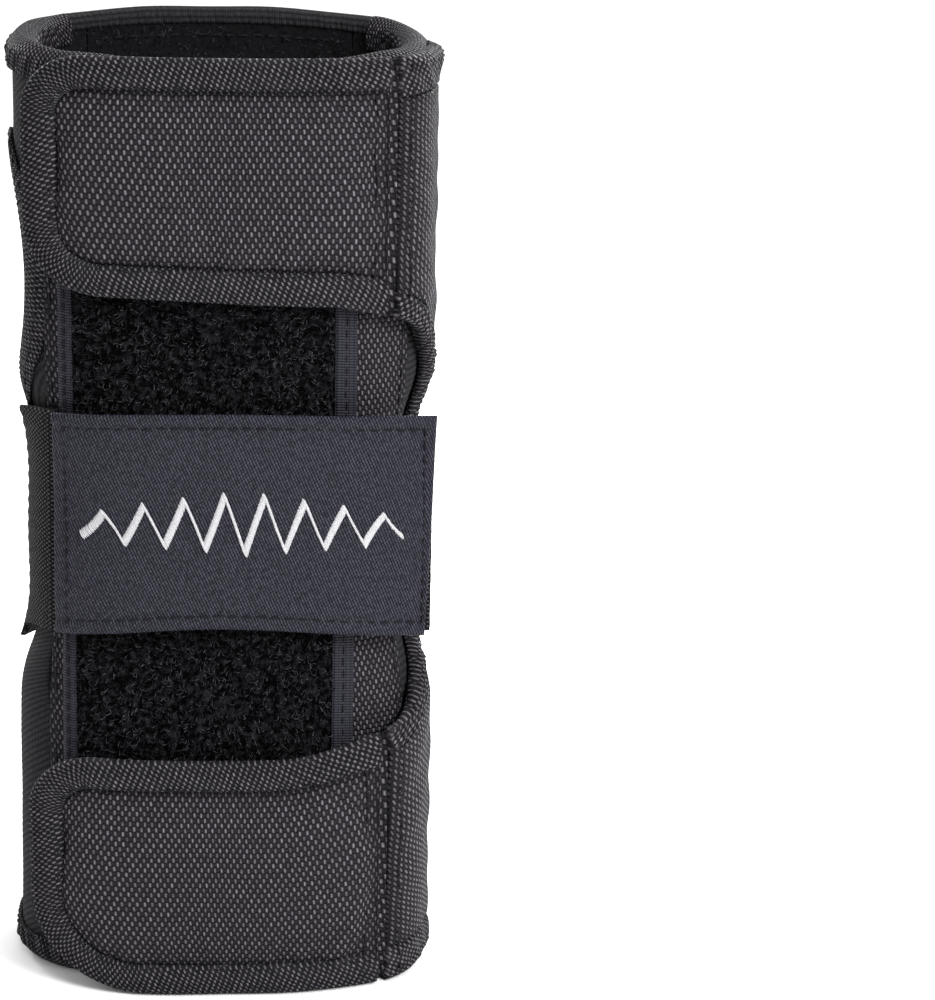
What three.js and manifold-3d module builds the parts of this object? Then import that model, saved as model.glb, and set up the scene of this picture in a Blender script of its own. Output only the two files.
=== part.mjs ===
// Wrist guard for the right hand, standing on its forearm end. Millimetres, +Z up.
// The back of the hand faces -Y, the palm +Y, the thumb -X and the little finger +X.
// Every soft layer is a slab of the sleeve: a stretch of its girth and height, between two distances
// from the sleeve's outer face. Girth u runs from the middle of the back of the hand towards +X.
import * as THREE from 'three';
import { mergeVertices } from 'three/addons/utils/BufferGeometryUtils.js';
import Module from 'manifold-3d';

const wasm = await Module();
wasm.setup();

// Sleeve
const HEIGHT = 211;              // at the palm; the back of the hand is RIM_DROP lower
const RIM_DROP = 5.5;
const HALF_WIDTH = 43.4;
const HALF_DEPTH = 25;
const SQUARENESS = 2.6;          // superellipse exponent of the cross-section
const FLARE = 1.0;               // more half width at the forearm end
const WAIST = { z: 105, narrower: 4.0, shallower: 1.0, reach: 30 };
const GAP = 0.3;

// Layers, as distances from the sleeve's outer face
const LINING = [-4.6, -4.0];
const PADDING = [-3.7, -1.3];
const SIDE_WALL = [-3.7, 0];
const STAY = [-1.0, 0.6];
const DORSAL_SKIN = [0.9, 1.9];
const LOOP = [2.2, 4.0];
const SELVAGE = [2.2, 3.2];
const HOOK = [4.3, 5.1];
const STRAP_UNDERLAY = [5.4, 5.9];
const STRAP_PADDING = [6.2, 7.4];
const STRAP_SHELL = [7.7, 8.5];
const STRAP_BINDING = [5.4, 8.9];
const WEB_AT_SEAM = [5.4, 8.5];
const WEB_AT_SIDE = [1.4, 3.2];
const POCKET_BACK = [-1.0, 0];
const LEATHER = 1.0;             // thickness of the palm leather
const LEATHER_REST = GAP;        // where it lies on the sleeve

// Girth limits
const DORSAL_HALF = 37;          // dorsal pad and lining, each side of the middle
const PALM_HALF = 31;            // palm pad and lining
const LEATHER_HALF = 35.5;
const POCKET_HALF = 27;
const WING_SEAM = 57;            // where the wing is sewn to the little-finger side

// Splint
const SPLINT = { half: 19.8, thick: 2.8, low: 21, high: 198, out: 73, back: 171, bow: 9.2, hump: 2.6 };

// Slits in the palm leather
const SLIT_HALF = 23.3;
const SLIT = 1.6;
const SLITS = [26.5, 77.2, 166.3];

// Thumb hole, centred on the thumb side
const THUMB_HOLE = { z: 155, halfHeight: 27, halfDepth: 13, band: 3.2 };

// Strap tails, from the rounded end to the hinge seam
const UPPER = { end: -36, hinge: 33, low: 155.5, high: 205.2, rLow: 15, rHigh: 12 };
const LOWER = { end: -38, hinge: 33, low: 0.3, high: 54.3, rLow: 22, rHigh: 13 };
const EDGE = 7;                  // width of the binding tape round a strap
const SEAM_GAP = 0.8;

// Wing between the straps
const CUT = { z: 105, halfHeight: 50.5, depth: 15, power: 6, root: 2.2, from: 33.8, band: 5 };

// Wrist strap
const BAND = { z: 98.5, tilt: 9, half: 23.5, sideExtra: 1.2, palmLess: 2 };
const BAND_HOOK = [0, 0.8];
const BAND_CORE = [1.1, 2.3];
const BAND_FACE = [2.6, 3.4];
const BAND_ELASTIC = [0.6, 2.0];
const BAND_HINGE = -33.2;        // x of the seam where the face panel starts
const BAND_STANDOFF = 4.9;       // inner face of the strap above the sleeve at the middle of the back

const clamp = (v, lo, hi) => Math.min(hi, Math.max(lo, v));
const mix = (a, b, t) => a + (b - a) * t;
const valueOf = (v, ...at) => (typeof v === 'function' ? v(...at) : v);

function smooth(a, b, v) {
  const t = clamp((v - a) / (b - a), 0, 1);
  return t * t * (3 - 2 * t);
}

// ---- The sleeve surface ----

const waistAt = (z) => Math.exp(-(((z - WAIST.z) / WAIST.reach) ** 2));
const halfWidth = (z) => HALF_WIDTH + FLARE * (1 - z / HEIGHT) - WAIST.narrower * waistAt(z);
const halfDepth = (z) => HALF_DEPTH - WAIST.shallower * waistAt(z);
const signedPower = (v, p) => Math.sign(v) * Math.abs(v) ** p;
const known = new Map();

// The cross-section at a height: points round it and the girth up to each.
function section(z) {
  const key = z.toFixed(4);
  if (!known.has(key)) {
    const steps = 720;
    const a = halfWidth(z);
    const b = halfDepth(z);
    const points = [];
    const girth = [0];
    for (let i = 0; i <= steps; i++) {
      const turn = (2 * Math.PI * i) / steps;
      const x = a * signedPower(Math.sin(turn), 2 / SQUARENESS);
      const y = -b * signedPower(Math.cos(turn), 2 / SQUARENESS);
      if (i > 0) girth.push(girth[i - 1] + Math.hypot(x - points[i - 1][0], y - points[i - 1][1]));
      points.push([x, y]);
    }
    known.set(key, { a, b, points, girth });
  }
  return known.get(key);
}

const girthAt = (z) => section(z).girth.at(-1);

// A point that lies `out` beyond the sleeve face at (x, y).
function beyond(x, y, z, out) {
  const { a, b } = section(z);
  const nx = signedPower(x / a, SQUARENESS - 1) / a;
  const ny = signedPower(y / b, SQUARENESS - 1) / b;
  const n = Math.hypot(nx, ny) || 1;
  return [x + (nx / n) * out, y + (ny / n) * out, z];
}

function onSleeve(u, z, out) {
  const { points, girth } = section(z);
  const total = girth.at(-1);
  const at = ((u % total) + total) % total;
  let lo = 0;
  let hi = girth.length - 1;
  while (hi - lo > 1) {
    const mid = (lo + hi) >> 1;
    if (girth[mid] <= at) lo = mid;
    else hi = mid;
  }
  const t = (at - girth[lo]) / (girth[hi] - girth[lo]);
  const x = mix(points[lo][0], points[hi][0], t);
  const y = mix(points[lo][1], points[hi][1], t);
  return beyond(x, y, z, out);
}

// On the thumb side, a place given by its y.
function onThumbSide(y, z, out) {
  const { a, b } = section(z);
  return beyond(-a * (1 - Math.abs(y / b) ** SQUARENESS) ** (1 / SQUARENESS), y, z, out);
}

const palm = (d) => (z) => girthAt(z) / 2 + d;
const rim = (u) => HEIGHT - (RIM_DROP / 2) * (1 + Math.cos((2 * Math.PI * u) / girthAt(200)));

// ---- Solids ----

// A closed body from vertices and triangles, turned so that its faces point out.
function closed(points, triangles) {
  let volume = 0;
  for (const [i, j, k] of triangles) {
    const [a, b, c] = [points[i], points[j], points[k]];
    volume += a[0] * (b[1] * c[2] - b[2] * c[1]);
    volume += a[1] * (b[2] * c[0] - b[0] * c[2]);
    volume += a[2] * (b[0] * c[1] - b[1] * c[0]);
  }
  const turned = volume < 0 ? triangles.map(([i, j, k]) => [i, k, j]) : triangles;
  const geometry = new THREE.BufferGeometry();
  geometry.setAttribute('position', new THREE.Float32BufferAttribute(points.flat(), 3));
  geometry.setIndex(turned.flat());
  return geometry;
}

// The solid between two faces over a grid of places. ring closes the grid's rows on themselves.
function slab(grid, inner, outer, place = onSleeve, ring = false) {
  const rows = grid.length;
  const columns = grid[0].length;
  const points = [];
  for (const side of [inner, outer]) {
    for (const row of grid) {
      for (const [u, z] of row) points.push(place(u, z, valueOf(side, u, z)));
    }
  }
  const id = (side, j, i) => (side * rows + j) * columns + (i % columns);
  const triangles = [];
  const quad = (a, b, c, d) => triangles.push([a, b, c], [a, c, d]);
  const across = ring ? columns : columns - 1;
  for (let j = 0; j < rows - 1; j++) {
    for (let i = 0; i < across; i++) {
      quad(id(0, j, i), id(0, j + 1, i), id(0, j + 1, i + 1), id(0, j, i + 1));
      quad(id(1, j, i), id(1, j, i + 1), id(1, j + 1, i + 1), id(1, j + 1, i));
    }
  }
  for (let i = 0; i < across; i++) {
    quad(id(0, 0, i), id(0, 0, i + 1), id(1, 0, i + 1), id(1, 0, i));
    quad(id(0, rows - 1, i + 1), id(0, rows - 1, i), id(1, rows - 1, i), id(1, rows - 1, i + 1));
  }
  if (!ring) {
    const last = columns - 1;
    for (let j = 0; j < rows - 1; j++) {
      quad(id(0, j + 1, 0), id(0, j, 0), id(1, j, 0), id(1, j + 1, 0));
      quad(id(0, j, last), id(0, j + 1, last), id(1, j + 1, last), id(1, j, last));
    }
  }
  return closed(points, triangles);
}

// Heights from lo to hi. Between them lie only the levels that the waist's curve needs.
const WAIST_LEVELS = [45, 70, 85, 95, 105, 115, 125, 140, 165];
const stops = (lo, hi) => [lo, ...WAIST_LEVELS.filter((v) => v - lo > 3 && hi - v > 3), hi];

// Even steps from lo to hi, none longer than step.
function evenly(lo, hi, step) {
  const n = Math.max(1, Math.ceil((hi - lo) / step - 1e-6));
  return Array.from({ length: n + 1 }, (_, i) => mix(lo, hi, i / n));
}

// A panel between two girths and two heights, each a number or a function of the other direction.
function panelGrid(u0, u1, z0, z1, { step = 5.8, levels = null } = {}) {
  const top = valueOf(z1, 0);
  const across = evenly(valueOf(u0, top), valueOf(u1, top), step);
  const share = across.map((u) => (u - across[0]) / (across.at(-1) - across[0]));
  const heights = levels ?? stops(valueOf(z0, across[0]), valueOf(z1, across[0]));
  const [low, high] = [heights[0], heights.at(-1)];
  return heights.map((h) =>
    share.map((s, i) => {
      const base = valueOf(z0, across[i]);
      const z = base + ((h - low) / (high - low)) * (valueOf(z1, across[i]) - base);
      return [mix(valueOf(u0, z), valueOf(u1, z), s), z];
    }),
  );
}

function panel(u0, u1, z0, z1, [inner, outer], options) {
  return slab(panelGrid(u0, u1, z0, z1, options), inner, outer);
}

function toManifold(geometry) {
  const merged = mergeVertices(geometry, 1e-4);
  const vertProperties = new Float32Array(merged.attributes.position.array);
  const triVerts = new Uint32Array(merged.index.array);
  return new wasm.Manifold(new wasm.Mesh({ numProp: 3, vertProperties, triVerts }));
}

function cut(geometry, cutter) {
  const found = toManifold(geometry).subtract(toManifold(cutter)).getMesh();
  const result = new THREE.BufferGeometry();
  result.setAttribute('position', new THREE.Float32BufferAttribute(found.vertProperties, 3));
  result.setIndex([...found.triVerts]);
  return result;
}

function bare(geometry) {
  geometry.deleteAttribute('normal');
  geometry.deleteAttribute('uv');
  return geometry;
}

// ---- The group ----

const group = new THREE.Group();

const LOOKS = {
  nylon: { color: 0x302d2f, roughness: 0.75 },
  tape: { color: 0x2a2829, roughness: 0.8 },
  knit: { color: 0x1d1e24, roughness: 0.95 },
  foam: { color: 0x3a3b3e, roughness: 1 },
  lining: { color: 0x18181b, roughness: 1 },
  leather: { color: 0x1f2227, roughness: 0.45 },
  plastic: { color: 0x3a3a3b, roughness: 0.4 },
  loop: { color: 0x141416, roughness: 1 },
  hook: { color: 0x202024, roughness: 0.9 },
  elastic: { color: 0x17181a, roughness: 0.9 },
  twill: { color: 0x1b1d27, roughness: 0.7 },
};

function add(name, look, geometry) {
  const material = new THREE.MeshStandardMaterial({ ...LOOKS[look], metalness: 0 });
  const mesh = new THREE.Mesh(geometry, material);
  mesh.name = name;
  group.add(mesh);
}

// ---- Thumb hole ----

function thumbHoleCutter() {
  const outline = new THREE.Shape();
  outline.absellipse(0, THUMB_HOLE.z, THUMB_HOLE.halfDepth, THUMB_HOLE.halfHeight, 0, 2 * Math.PI);
  const length = 50;
  const solid = new THREE.ExtrudeGeometry(outline, { depth: length, bevelEnabled: false, curveSegments: 12 });
  const turn = new THREE.Matrix4().makeBasis(
    new THREE.Vector3(0, 1, 0),
    new THREE.Vector3(0, 0, 1),
    new THREE.Vector3(1, 0, 0),
  );
  solid.applyMatrix4(turn);
  solid.translate(-HALF_WIDTH - length / 2, 0, 0);
  return bare(solid);
}

function thumbHoleBinding() {
  const steps = 28;
  const grid = [GAP, GAP + THUMB_HOLE.band].map((wider) =>
    Array.from({ length: steps }, (_, i) => {
      const turn = (2 * Math.PI * i) / steps;
      const y = (THUMB_HOLE.halfDepth + wider) * Math.cos(turn);
      return [y, THUMB_HOLE.z + (THUMB_HOLE.halfHeight + wider) * Math.sin(turn)];
    }),
  );
  return slab(grid, GAP, GAP + 0.9, onThumbSide, true);
}

// ---- Linings, padding and side walls ----

function addSleeve() {
  const hem = 1;
  const top = (u) => rim(u) - hem;
  const seam = GAP / 2;
  const thumbStart = palm(PALM_HALF + seam);
  const thumbEnd = (z) => girthAt(z) - DORSAL_HALF - seam;
  const littleEnd = palm(-PALM_HALF - seam);
  const stretch = {
    dorsal: [-DORSAL_HALF + seam, DORSAL_HALF - seam],
    palm: [palm(-PALM_HALF + seam), palm(PALM_HALF - seam)],
    little: [DORSAL_HALF + seam, littleEnd],
    thumb: [thumbStart, thumbEnd],
  };
  const hole = thumbHoleCutter();
  const layer = (side, between) => panel(...stretch[side], hem, top, between);
  add('lining_dorsal', 'lining', layer('dorsal', LINING));
  add('lining_palm', 'lining', layer('palm', LINING));
  add('lining_little_finger_side', 'lining', layer('little', LINING));
  add('lining_thumb_side', 'lining', cut(layer('thumb', LINING), hole));
  add('dorsal_pad', 'foam', layer('dorsal', PADDING));
  add('palm_pad', 'foam', layer('palm', PADDING));
  add('little_finger_side_panel', 'knit', layer('little', SIDE_WALL));
  add('thumb_side_panel', 'knit', cut(layer('thumb', SIDE_WALL), hole));
  add('thumb_hole_binding', 'tape', thumbHoleBinding());
}

// A tape folded over the sleeve's rim, from the leather's one edge round the back of the hand to the other.
function rimBinding(atTop) {
  const leg = 7;
  const cap = 0.7;
  const inner = LINING[0] - GAP;
  const skin = 0.7;
  const end = girthAt(atTop ? HEIGHT : 0) / 2 - LEATHER_HALF - GAP;
  const places = evenly(-end, end, 5);
  const outer = GAP + 0.1;
  const profile = [
    [inner - skin, 0], [outer + skin, 0], [outer + skin, leg], [outer, leg],
    [outer, cap], [inner, cap], [inner, leg], [inner - skin, leg],
  ];
  const points = [];
  for (const u of places) {
    for (const [out, down] of profile) points.push(onSleeve(u, atTop ? rim(u) - down : down, out));
  }
  const n = profile.length;
  const triangles = [];
  for (let i = 0; i < places.length - 1; i++) {
    for (let k = 0; k < n; k++) {
      const [a, b] = [i * n + k, i * n + ((k + 1) % n)];
      triangles.push([a, b, b + n], [a, b + n, a + n]);
    }
  }
  const contour = profile.map(([x, y]) => new THREE.Vector2(x, y));
  const last = (places.length - 1) * n;
  for (const [i, j, k] of THREE.ShapeUtils.triangulateShape(contour, [])) {
    triangles.push([i, k, j], [last + i, last + j, last + k]);
  }
  return orient(points, triangles, n);
}

// The caps of a swept profile may be wound the other way from its sides, so both are tried.
function orient(points, triangles, n) {
  const uses = new Map();
  for (const [i, j, k] of triangles) {
    for (const e of [[i, j], [j, k], [k, i]]) uses.set(e.join(), (uses.get(e.join()) ?? 0) + 1);
  }
  const clean = [...uses.values()].every((v) => v === 1);
  const caps = triangles.length - 2 * (n - 2);
  const fixed = triangles.map(([i, j, k], at) => (clean || at < caps ? [i, j, k] : [i, k, j]));
  return closed(points, fixed);
}

// ---- Back of the hand ----

function addDorsal() {
  const below = 8.5;
  const top = (u) => rim(u) - below;
  add('dorsal_stay', 'plastic', panel(-19, 19, 30, 185, STAY, { step: 9.5 }));
  add('dorsal_panel', 'nylon', panel(-37, 41, below, top, DORSAL_SKIN, { step: 6.5 }));
  add('loop_patch', 'loop', panel(-29.8, 23.4, 12, 193, LOOP, { step: 7 }));
  add('loop_selvage_thumb_side', 'loop', panel(-33.2, -30.1, 12, 193, SELVAGE, { step: 4 }));
  add('loop_selvage_little_finger_side', 'loop', panel(23.7, 28.3, 12, 193, SELVAGE, { step: 5 }));
}

// ---- Palm ----

function bow(z) {
  const share = clamp((z - SPLINT.out) / (SPLINT.back - SPLINT.out), 0, 1);
  return GAP + SPLINT.bow * (1 - Math.abs(2 * share - 1) ** SPLINT.hump);
}

// The leather lies on the sleeve, and runs over the splint where the splint is in its two pockets.
function leatherInner(u, z) {
  const aside = Math.abs(u - girthAt(z) / 2);
  const pockets = smooth(13, 19, z) * (1 - smooth(SLITS[1] - 0.8, SLITS[1] + 0.8, z))
    + smooth(SLITS[2] - 0.8, SLITS[2] + 0.8, z) * (1 - smooth(200, 206, z));
  const raised = bow(z) + SPLINT.thick + 2 * GAP - LEATHER_REST;
  return LEATHER_REST + raised * pockets * (1 - smooth(SPLINT.half + 1.2, SPLINT.half + 7, aside));
}

function slitCutter(z) {
  const box = bare(new THREE.BoxGeometry(2 * SLIT_HALF, 40, SLIT));
  return box.translate(0, HALF_DEPTH + 5, z);
}

function addPalm() {
  const edge = LEATHER_HALF;
  const side = SLIT / 2;
  const atSlits = SLITS.slice(1).flatMap((z) => [z - side - 0.1, z + side + 0.1]);
  const levels = [1.5, 13, 19, 45, 66, ...atSlits, 95, 115, 140, 172, 199, 206, 211];
  levels.sort((a, b) => a - b);
  const grid = panelGrid(palm(-edge), palm(edge), 1.5, rim, { step: 4.8, levels });
  let leather = slab(grid, leatherInner, (u, z) => leatherInner(u, z) + LEATHER);
  for (const z of SLITS) leather = cut(leather, slitCutter(z));
  add('palm_leather_panel', 'leather', leather);
  add('splint_pocket_backing', 'lining', panel(palm(-POCKET_HALF), palm(POCKET_HALF), 8, 204, POCKET_BACK));
  const splintLevels = [SPLINT.low, 45, ...evenly(SPLINT.out, SPLINT.back, 7), 185, SPLINT.high];
  const splint = panelGrid(palm(-SPLINT.half), palm(SPLINT.half), SPLINT.low, SPLINT.high, { step: 10, levels: splintLevels });
  const splintOuter = (u, z) => bow(z) + SPLINT.thick;
  add('palm_splint', 'plastic', slab(splint, (u, z) => bow(z), splintOuter));
}

// ---- Strap tails ----

// The lowest and highest z of a tail at girth u, inset by d from its outline.
function tailLimits(tail, u, d) {
  const drop = (radius) => {
    const r = radius - d;
    const reach = clamp(tail.end + radius - u, 0, r);
    return r - Math.sqrt(r * r - reach * reach);
  };
  return [tail.low + d + drop(tail.rLow), tail.high - d - drop(tail.rHigh)];
}

function tailLayer(tail, [inner, outer]) {
  const d = EDGE + GAP;
  const start = tail.end + d;
  const arcs = [0.7, 2, 4.5, 8].map((v) => start + v);
  const across = [start, ...arcs, ...evenly(start + 13, tail.hinge - SEAM_GAP, 6.5)];
  const grid = [0, 0.2, 0.4, 0.6, 0.8, 1].map((share) =>
    across.map((u) => {
      const [low, high] = tailLimits(tail, u, d);
      return [u, mix(low, high, share)];
    }),
  );
  return slab(grid, inner, outer);
}

// The tape round a tail's free edge: along the top, round the end and back along the bottom.
function tailBinding(tail) {
  const corner = (z, radius, from, d) =>
    [0, 1, 2, 3, 4].map((k) => {
      const turn = from + (k * Math.PI) / 8;
      return [tail.end + radius + (radius - d) * Math.cos(turn), z + (radius - d) * Math.sin(turn)];
    });
  const line = (d) => {
    const top = evenly(tail.end + tail.rHigh, tail.hinge - SEAM_GAP, 7).slice(1).reverse();
    const bottom = evenly(tail.end + tail.rLow, tail.hinge - SEAM_GAP, 7).slice(1);
    return [
      ...top.map((u) => [u, tail.high - d]),
      ...corner(tail.high - tail.rHigh, tail.rHigh, Math.PI / 2, d),
      ...corner(tail.low + tail.rLow, tail.rLow, Math.PI, d),
      ...bottom.map((u) => [u, tail.low + d]),
    ];
  };
  return slab([line(0), line(EDGE)], ...STRAP_BINDING);
}

function addTail(name, tail, hook) {
  add(`${name}_shell`, 'nylon', tailLayer(tail, STRAP_SHELL));
  add(`${name}_padding`, 'foam', tailLayer(tail, STRAP_PADDING));
  add(`${name}_underlay`, 'lining', tailLayer(tail, STRAP_UNDERLAY));
  add(`${name}_binding`, 'tape', tailBinding(tail));
  add(`${name}_hook_patch`, 'hook', panel(...hook, HOOK, { step: 8 }));
}

// ---- Wing on the little-finger side ----

const webInner = (u) => mix(WEB_AT_SEAM[0], WEB_AT_SIDE[0], smooth(CUT.from, 50, u));
const webOuter = (u) => mix(WEB_AT_SEAM[1], WEB_AT_SIDE[1], smooth(CUT.from, 50, u));

// Girth of the U-shaped cut between the straps, widened by d.
function cutEdge(z, d) {
  const share = clamp(Math.abs(z - CUT.z) / (CUT.halfHeight + d), 0, 1);
  return CUT.from + (CUT.depth + d) * (1 - share ** CUT.power) ** (1 / CUT.root);
}

function addWing() {
  const edge = 8;
  const shares = [-1, -0.995, -0.97, -0.92, -0.83, -0.6, -0.3, 0, 0.3, 0.6, 0.83, 0.92, 0.97, 0.995, 1];
  const wide = CUT.band + GAP;
  const heights = [
    edge, 30,
    ...shares.map((s) => CUT.z + s * (CUT.halfHeight + wide)),
    180, 197,
  ];
  const web = heights.map((z) => evenly(0, 1, 0.2).map((s) => [mix(cutEdge(z, wide), WING_SEAM, s), z]));
  add('wing_web', 'nylon', slab(web, webInner, webOuter));
  const tape = shares.map((s) =>
    [0, CUT.band].map((d) => {
      const z = CUT.z + s * (CUT.halfHeight + d);
      return [cutEdge(z, d), z];
    }),
  );
  add('wing_cut_binding', 'tape', slab(tape, webInner, (u) => webOuter(u) + 0.3));
  const seam = [CUT.from, WING_SEAM];
  const bindingOuter = (u) => webOuter(u) + 0.4;
  const top = panelGrid(...seam, 197 + GAP, UPPER.high, { step: 4 });
  add('wing_top_binding', 'tape', slab(top, webInner, bindingOuter));
  const bottom = panelGrid(...seam, LOWER.low, edge - GAP, { step: 4 });
  add('wing_bottom_binding', 'tape', slab(bottom, webInner, bindingOuter));
}

// ---- Wrist strap ----

// Its inner face seen from above, from the free end round the thumb side and the palm to its sewn end.
function bandLine() {
  const back = HALF_DEPTH - WAIST.shallower + BAND_STANDOFF;
  const side = halfWidth(WAIST.z);
  const over = HALF_DEPTH - WAIST.shallower + GAP + SPLINT.bow + SPLINT.thick + 0.5;
  const route = [
    [side + 4.6, -back + 7.6], [30, -back + 3.1], [15, -back + 0.7], [0, -back], [-15, -back + 0.8],
    [-27, -back + 3.6], [-34.6, -back + 9.2], [-side + 0.2, -10.5], [-side - 0.9, 0], [-side + 0.4, 11],
    [-32.5, 24], [-SPLINT.half - 2, over - 2], [-SPLINT.half + 3, over], [0, over + 0.7],
    [SPLINT.half - 3, over], [SPLINT.half + 2, over - 2], [32.5, 24], [side - 0.1, 11], [side + 0.9, 4.6],
  ];
  return new THREE.CatmullRomCurve3(route.map(([x, y]) => new THREE.Vector3(x, y, 0)), false, 'centripetal');
}

const band = bandLine();
const bandSteps = 96;
const bandPoints = band.getSpacedPoints(bandSteps);

// A place on the strap: s from 0 to 1 along it, and across from -1 to 1 over its width.
function onBand(s, across, out) {
  const at = clamp(s, 0, 1);
  const p = band.getPointAt(at);
  const t = band.getTangentAt(at);
  const away = Math.atan2(p.x, -p.y);
  const half = BAND.half + BAND.sideExtra * Math.sin(away) ** 2 - BAND.palmLess * smooth(0.4, 1, -Math.cos(away));
  const z = BAND.z + BAND.tilt * signedPower(Math.cos(away), 0.5) + across * half;
  const flare = mix(1, halfWidth(z) / halfWidth(WAIST.z), smooth(-17, -6, p.y));
  return [p.x * flare + t.y * out, p.y - t.x * out, z];
}

function bandPiece(from, to, inner, outer, narrower = 0) {
  const grid = evenly(from, to, 0.0225).map((s) => [-1, 0, 1].map((v) => [s, v * (1 - narrower)]));
  return slab(grid, inner, outer, onBand);
}

function addWristStrap() {
  const steps = bandPoints.findIndex((p) => p.x < BAND_HINGE);
  const seam = steps / bandSteps;
  const clear = 0.002;
  const outward = -1;
  const layer = ([inner, outer]) => [outward * inner, outward * outer];
  const length = band.getLength();
  add('wrist_strap_face', 'twill', bandPiece(0, seam - clear, ...layer(BAND_FACE)));
  add('wrist_strap_core', 'elastic', bandPiece(0.002, seam - clear, ...layer(BAND_CORE), 0.04));
  add('wrist_strap_hook_patch', 'hook', bandPiece(0.004, 62 / length, ...layer(BAND_HOOK), 0.1));
  add('wrist_elastic', 'elastic', bandPiece(seam + clear, 1, ...layer(BAND_ELASTIC)));
}

addSleeve();
addDorsal();
addPalm();
addWing();
addTail('upper_strap', UPPER, [-28, 4, 163, 192]);
addTail('lower_strap', LOWER, [-28, 4, 13, 46]);
addWristStrap();
add('top_rim_binding', 'tape', rimBinding(true));
add('bottom_rim_binding', 'tape', rimBinding(false));

// The origin is at the middle of the box, on the surface that the forearm end stands on.
const box = new THREE.Box3().setFromObject(group);
const middle = box.getCenter(new THREE.Vector3());
group.position.set(-middle.x, -middle.y, 0);
group.updateMatrixWorld(true);

export default group;
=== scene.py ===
import math

import bpy
import numpy as np
from mathutils import Matrix, Vector


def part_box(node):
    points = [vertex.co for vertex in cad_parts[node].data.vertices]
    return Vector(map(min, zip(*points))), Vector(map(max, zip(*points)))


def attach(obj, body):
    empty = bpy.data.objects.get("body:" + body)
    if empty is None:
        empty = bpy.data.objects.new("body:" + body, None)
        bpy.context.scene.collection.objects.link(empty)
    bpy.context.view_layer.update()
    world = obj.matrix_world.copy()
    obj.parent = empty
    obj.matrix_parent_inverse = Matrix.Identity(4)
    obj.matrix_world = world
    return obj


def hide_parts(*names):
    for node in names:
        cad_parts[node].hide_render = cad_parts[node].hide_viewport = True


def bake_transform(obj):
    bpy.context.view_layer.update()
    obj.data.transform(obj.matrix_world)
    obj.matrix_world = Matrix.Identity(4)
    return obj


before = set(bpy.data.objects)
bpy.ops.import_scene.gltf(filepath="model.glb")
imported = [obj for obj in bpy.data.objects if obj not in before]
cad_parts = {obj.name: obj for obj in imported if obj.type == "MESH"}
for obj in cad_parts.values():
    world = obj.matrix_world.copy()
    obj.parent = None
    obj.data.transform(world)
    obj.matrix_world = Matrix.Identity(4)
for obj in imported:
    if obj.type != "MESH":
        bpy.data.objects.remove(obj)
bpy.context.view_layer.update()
scene = bpy.context.scene

# ---- Camera, at the back of the hand ----

camera = bpy.data.objects.new("camera", bpy.data.cameras.new("camera"))
scene.collection.objects.link(camera)
camera.data.lens = 112
camera.data.sensor_width = 36
PITCH, YAW, ROLL = math.radians(15.763), math.radians(4.540), math.radians(1.265)
camera.matrix_world = (
    Matrix.Translation((0.0011, -0.6644, 0.2909))
    @ Matrix.Rotation(-YAW, 4, "Z")
    @ Matrix.Rotation(math.pi / 2 - PITCH, 4, "X")
    @ Matrix.Rotation(ROLL, 4, "Z")
)
scene.camera = camera

# ---- The sleeve's surface, in millimetres ----

HEIGHT, RIM_TOP, RIM_DROP, SQUARE = 211.0, 209.6, 6.0, 2.6
MM = 1e-3
SHIFT = np.array(
    [
        500 * (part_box("lining_thumb_side")[0][0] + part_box("lining_little_finger_side")[1][0]),
        500 * (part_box("lining_dorsal")[0][1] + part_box("lining_palm")[1][1]),
        0.0,
    ]
)


def half_width(z):
    """Half the sleeve's outline across the hand, narrower at the waist."""
    return 43.4 + 1.0 * (1 - z / HEIGHT) - 5.0 * np.exp(-(((z - 100) / 31) ** 6))


def half_depth(z):
    """Half the sleeve's outline from back to palm."""
    return 25 - 1.0 * np.exp(-(((z - 105) / 30) ** 2))


def spow(v, p):
    """A power that keeps the sign."""
    return np.sign(v) * np.abs(v) ** p


def ease(a, b, v):
    """A smooth step from 0 at a to 1 at b."""
    t = np.clip((v - a) / (b - a), 0, 1)
    return t * t * (3 - 2 * t)


def bell(v, width):
    """A smooth bump, 1 at v = 0."""
    return np.exp(-((v / width) ** 2))


LEVELS = np.arange(-6.0, 219.0)
TURNS = 1440


def make_table():
    """The sleeve's outline at every level, at even distances along it."""
    xs, ys, girths = [], [], []
    turn = np.linspace(0, 2 * np.pi, TURNS + 1)
    share = np.linspace(0, 1, TURNS + 1)
    for z in LEVELS:
        x = half_width(z) * spow(np.sin(turn), 2 / SQUARE)
        y = -half_depth(z) * spow(np.cos(turn), 2 / SQUARE)
        g = np.concatenate([[0], np.cumsum(np.hypot(np.diff(x), np.diff(y)))])
        xs.append(np.interp(share * g[-1], g, x))
        ys.append(np.interp(share * g[-1], g, y))
        girths.append(g[-1])
    return np.array(xs), np.array(ys), np.array(girths)


TABLE_X, TABLE_Y, GIRTHS = make_table()


def girth(z):
    return np.interp(z, LEVELS, GIRTHS)


def facing(x, y, z):
    """The level direction out of the sleeve at a point of it."""
    a, b = half_width(z), half_depth(z)
    nx, ny = spow(x / a, SQUARE - 1) / a, spow(y / b, SQUARE - 1) / b
    n = np.hypot(nx, ny)
    return nx / n, ny / n


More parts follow.
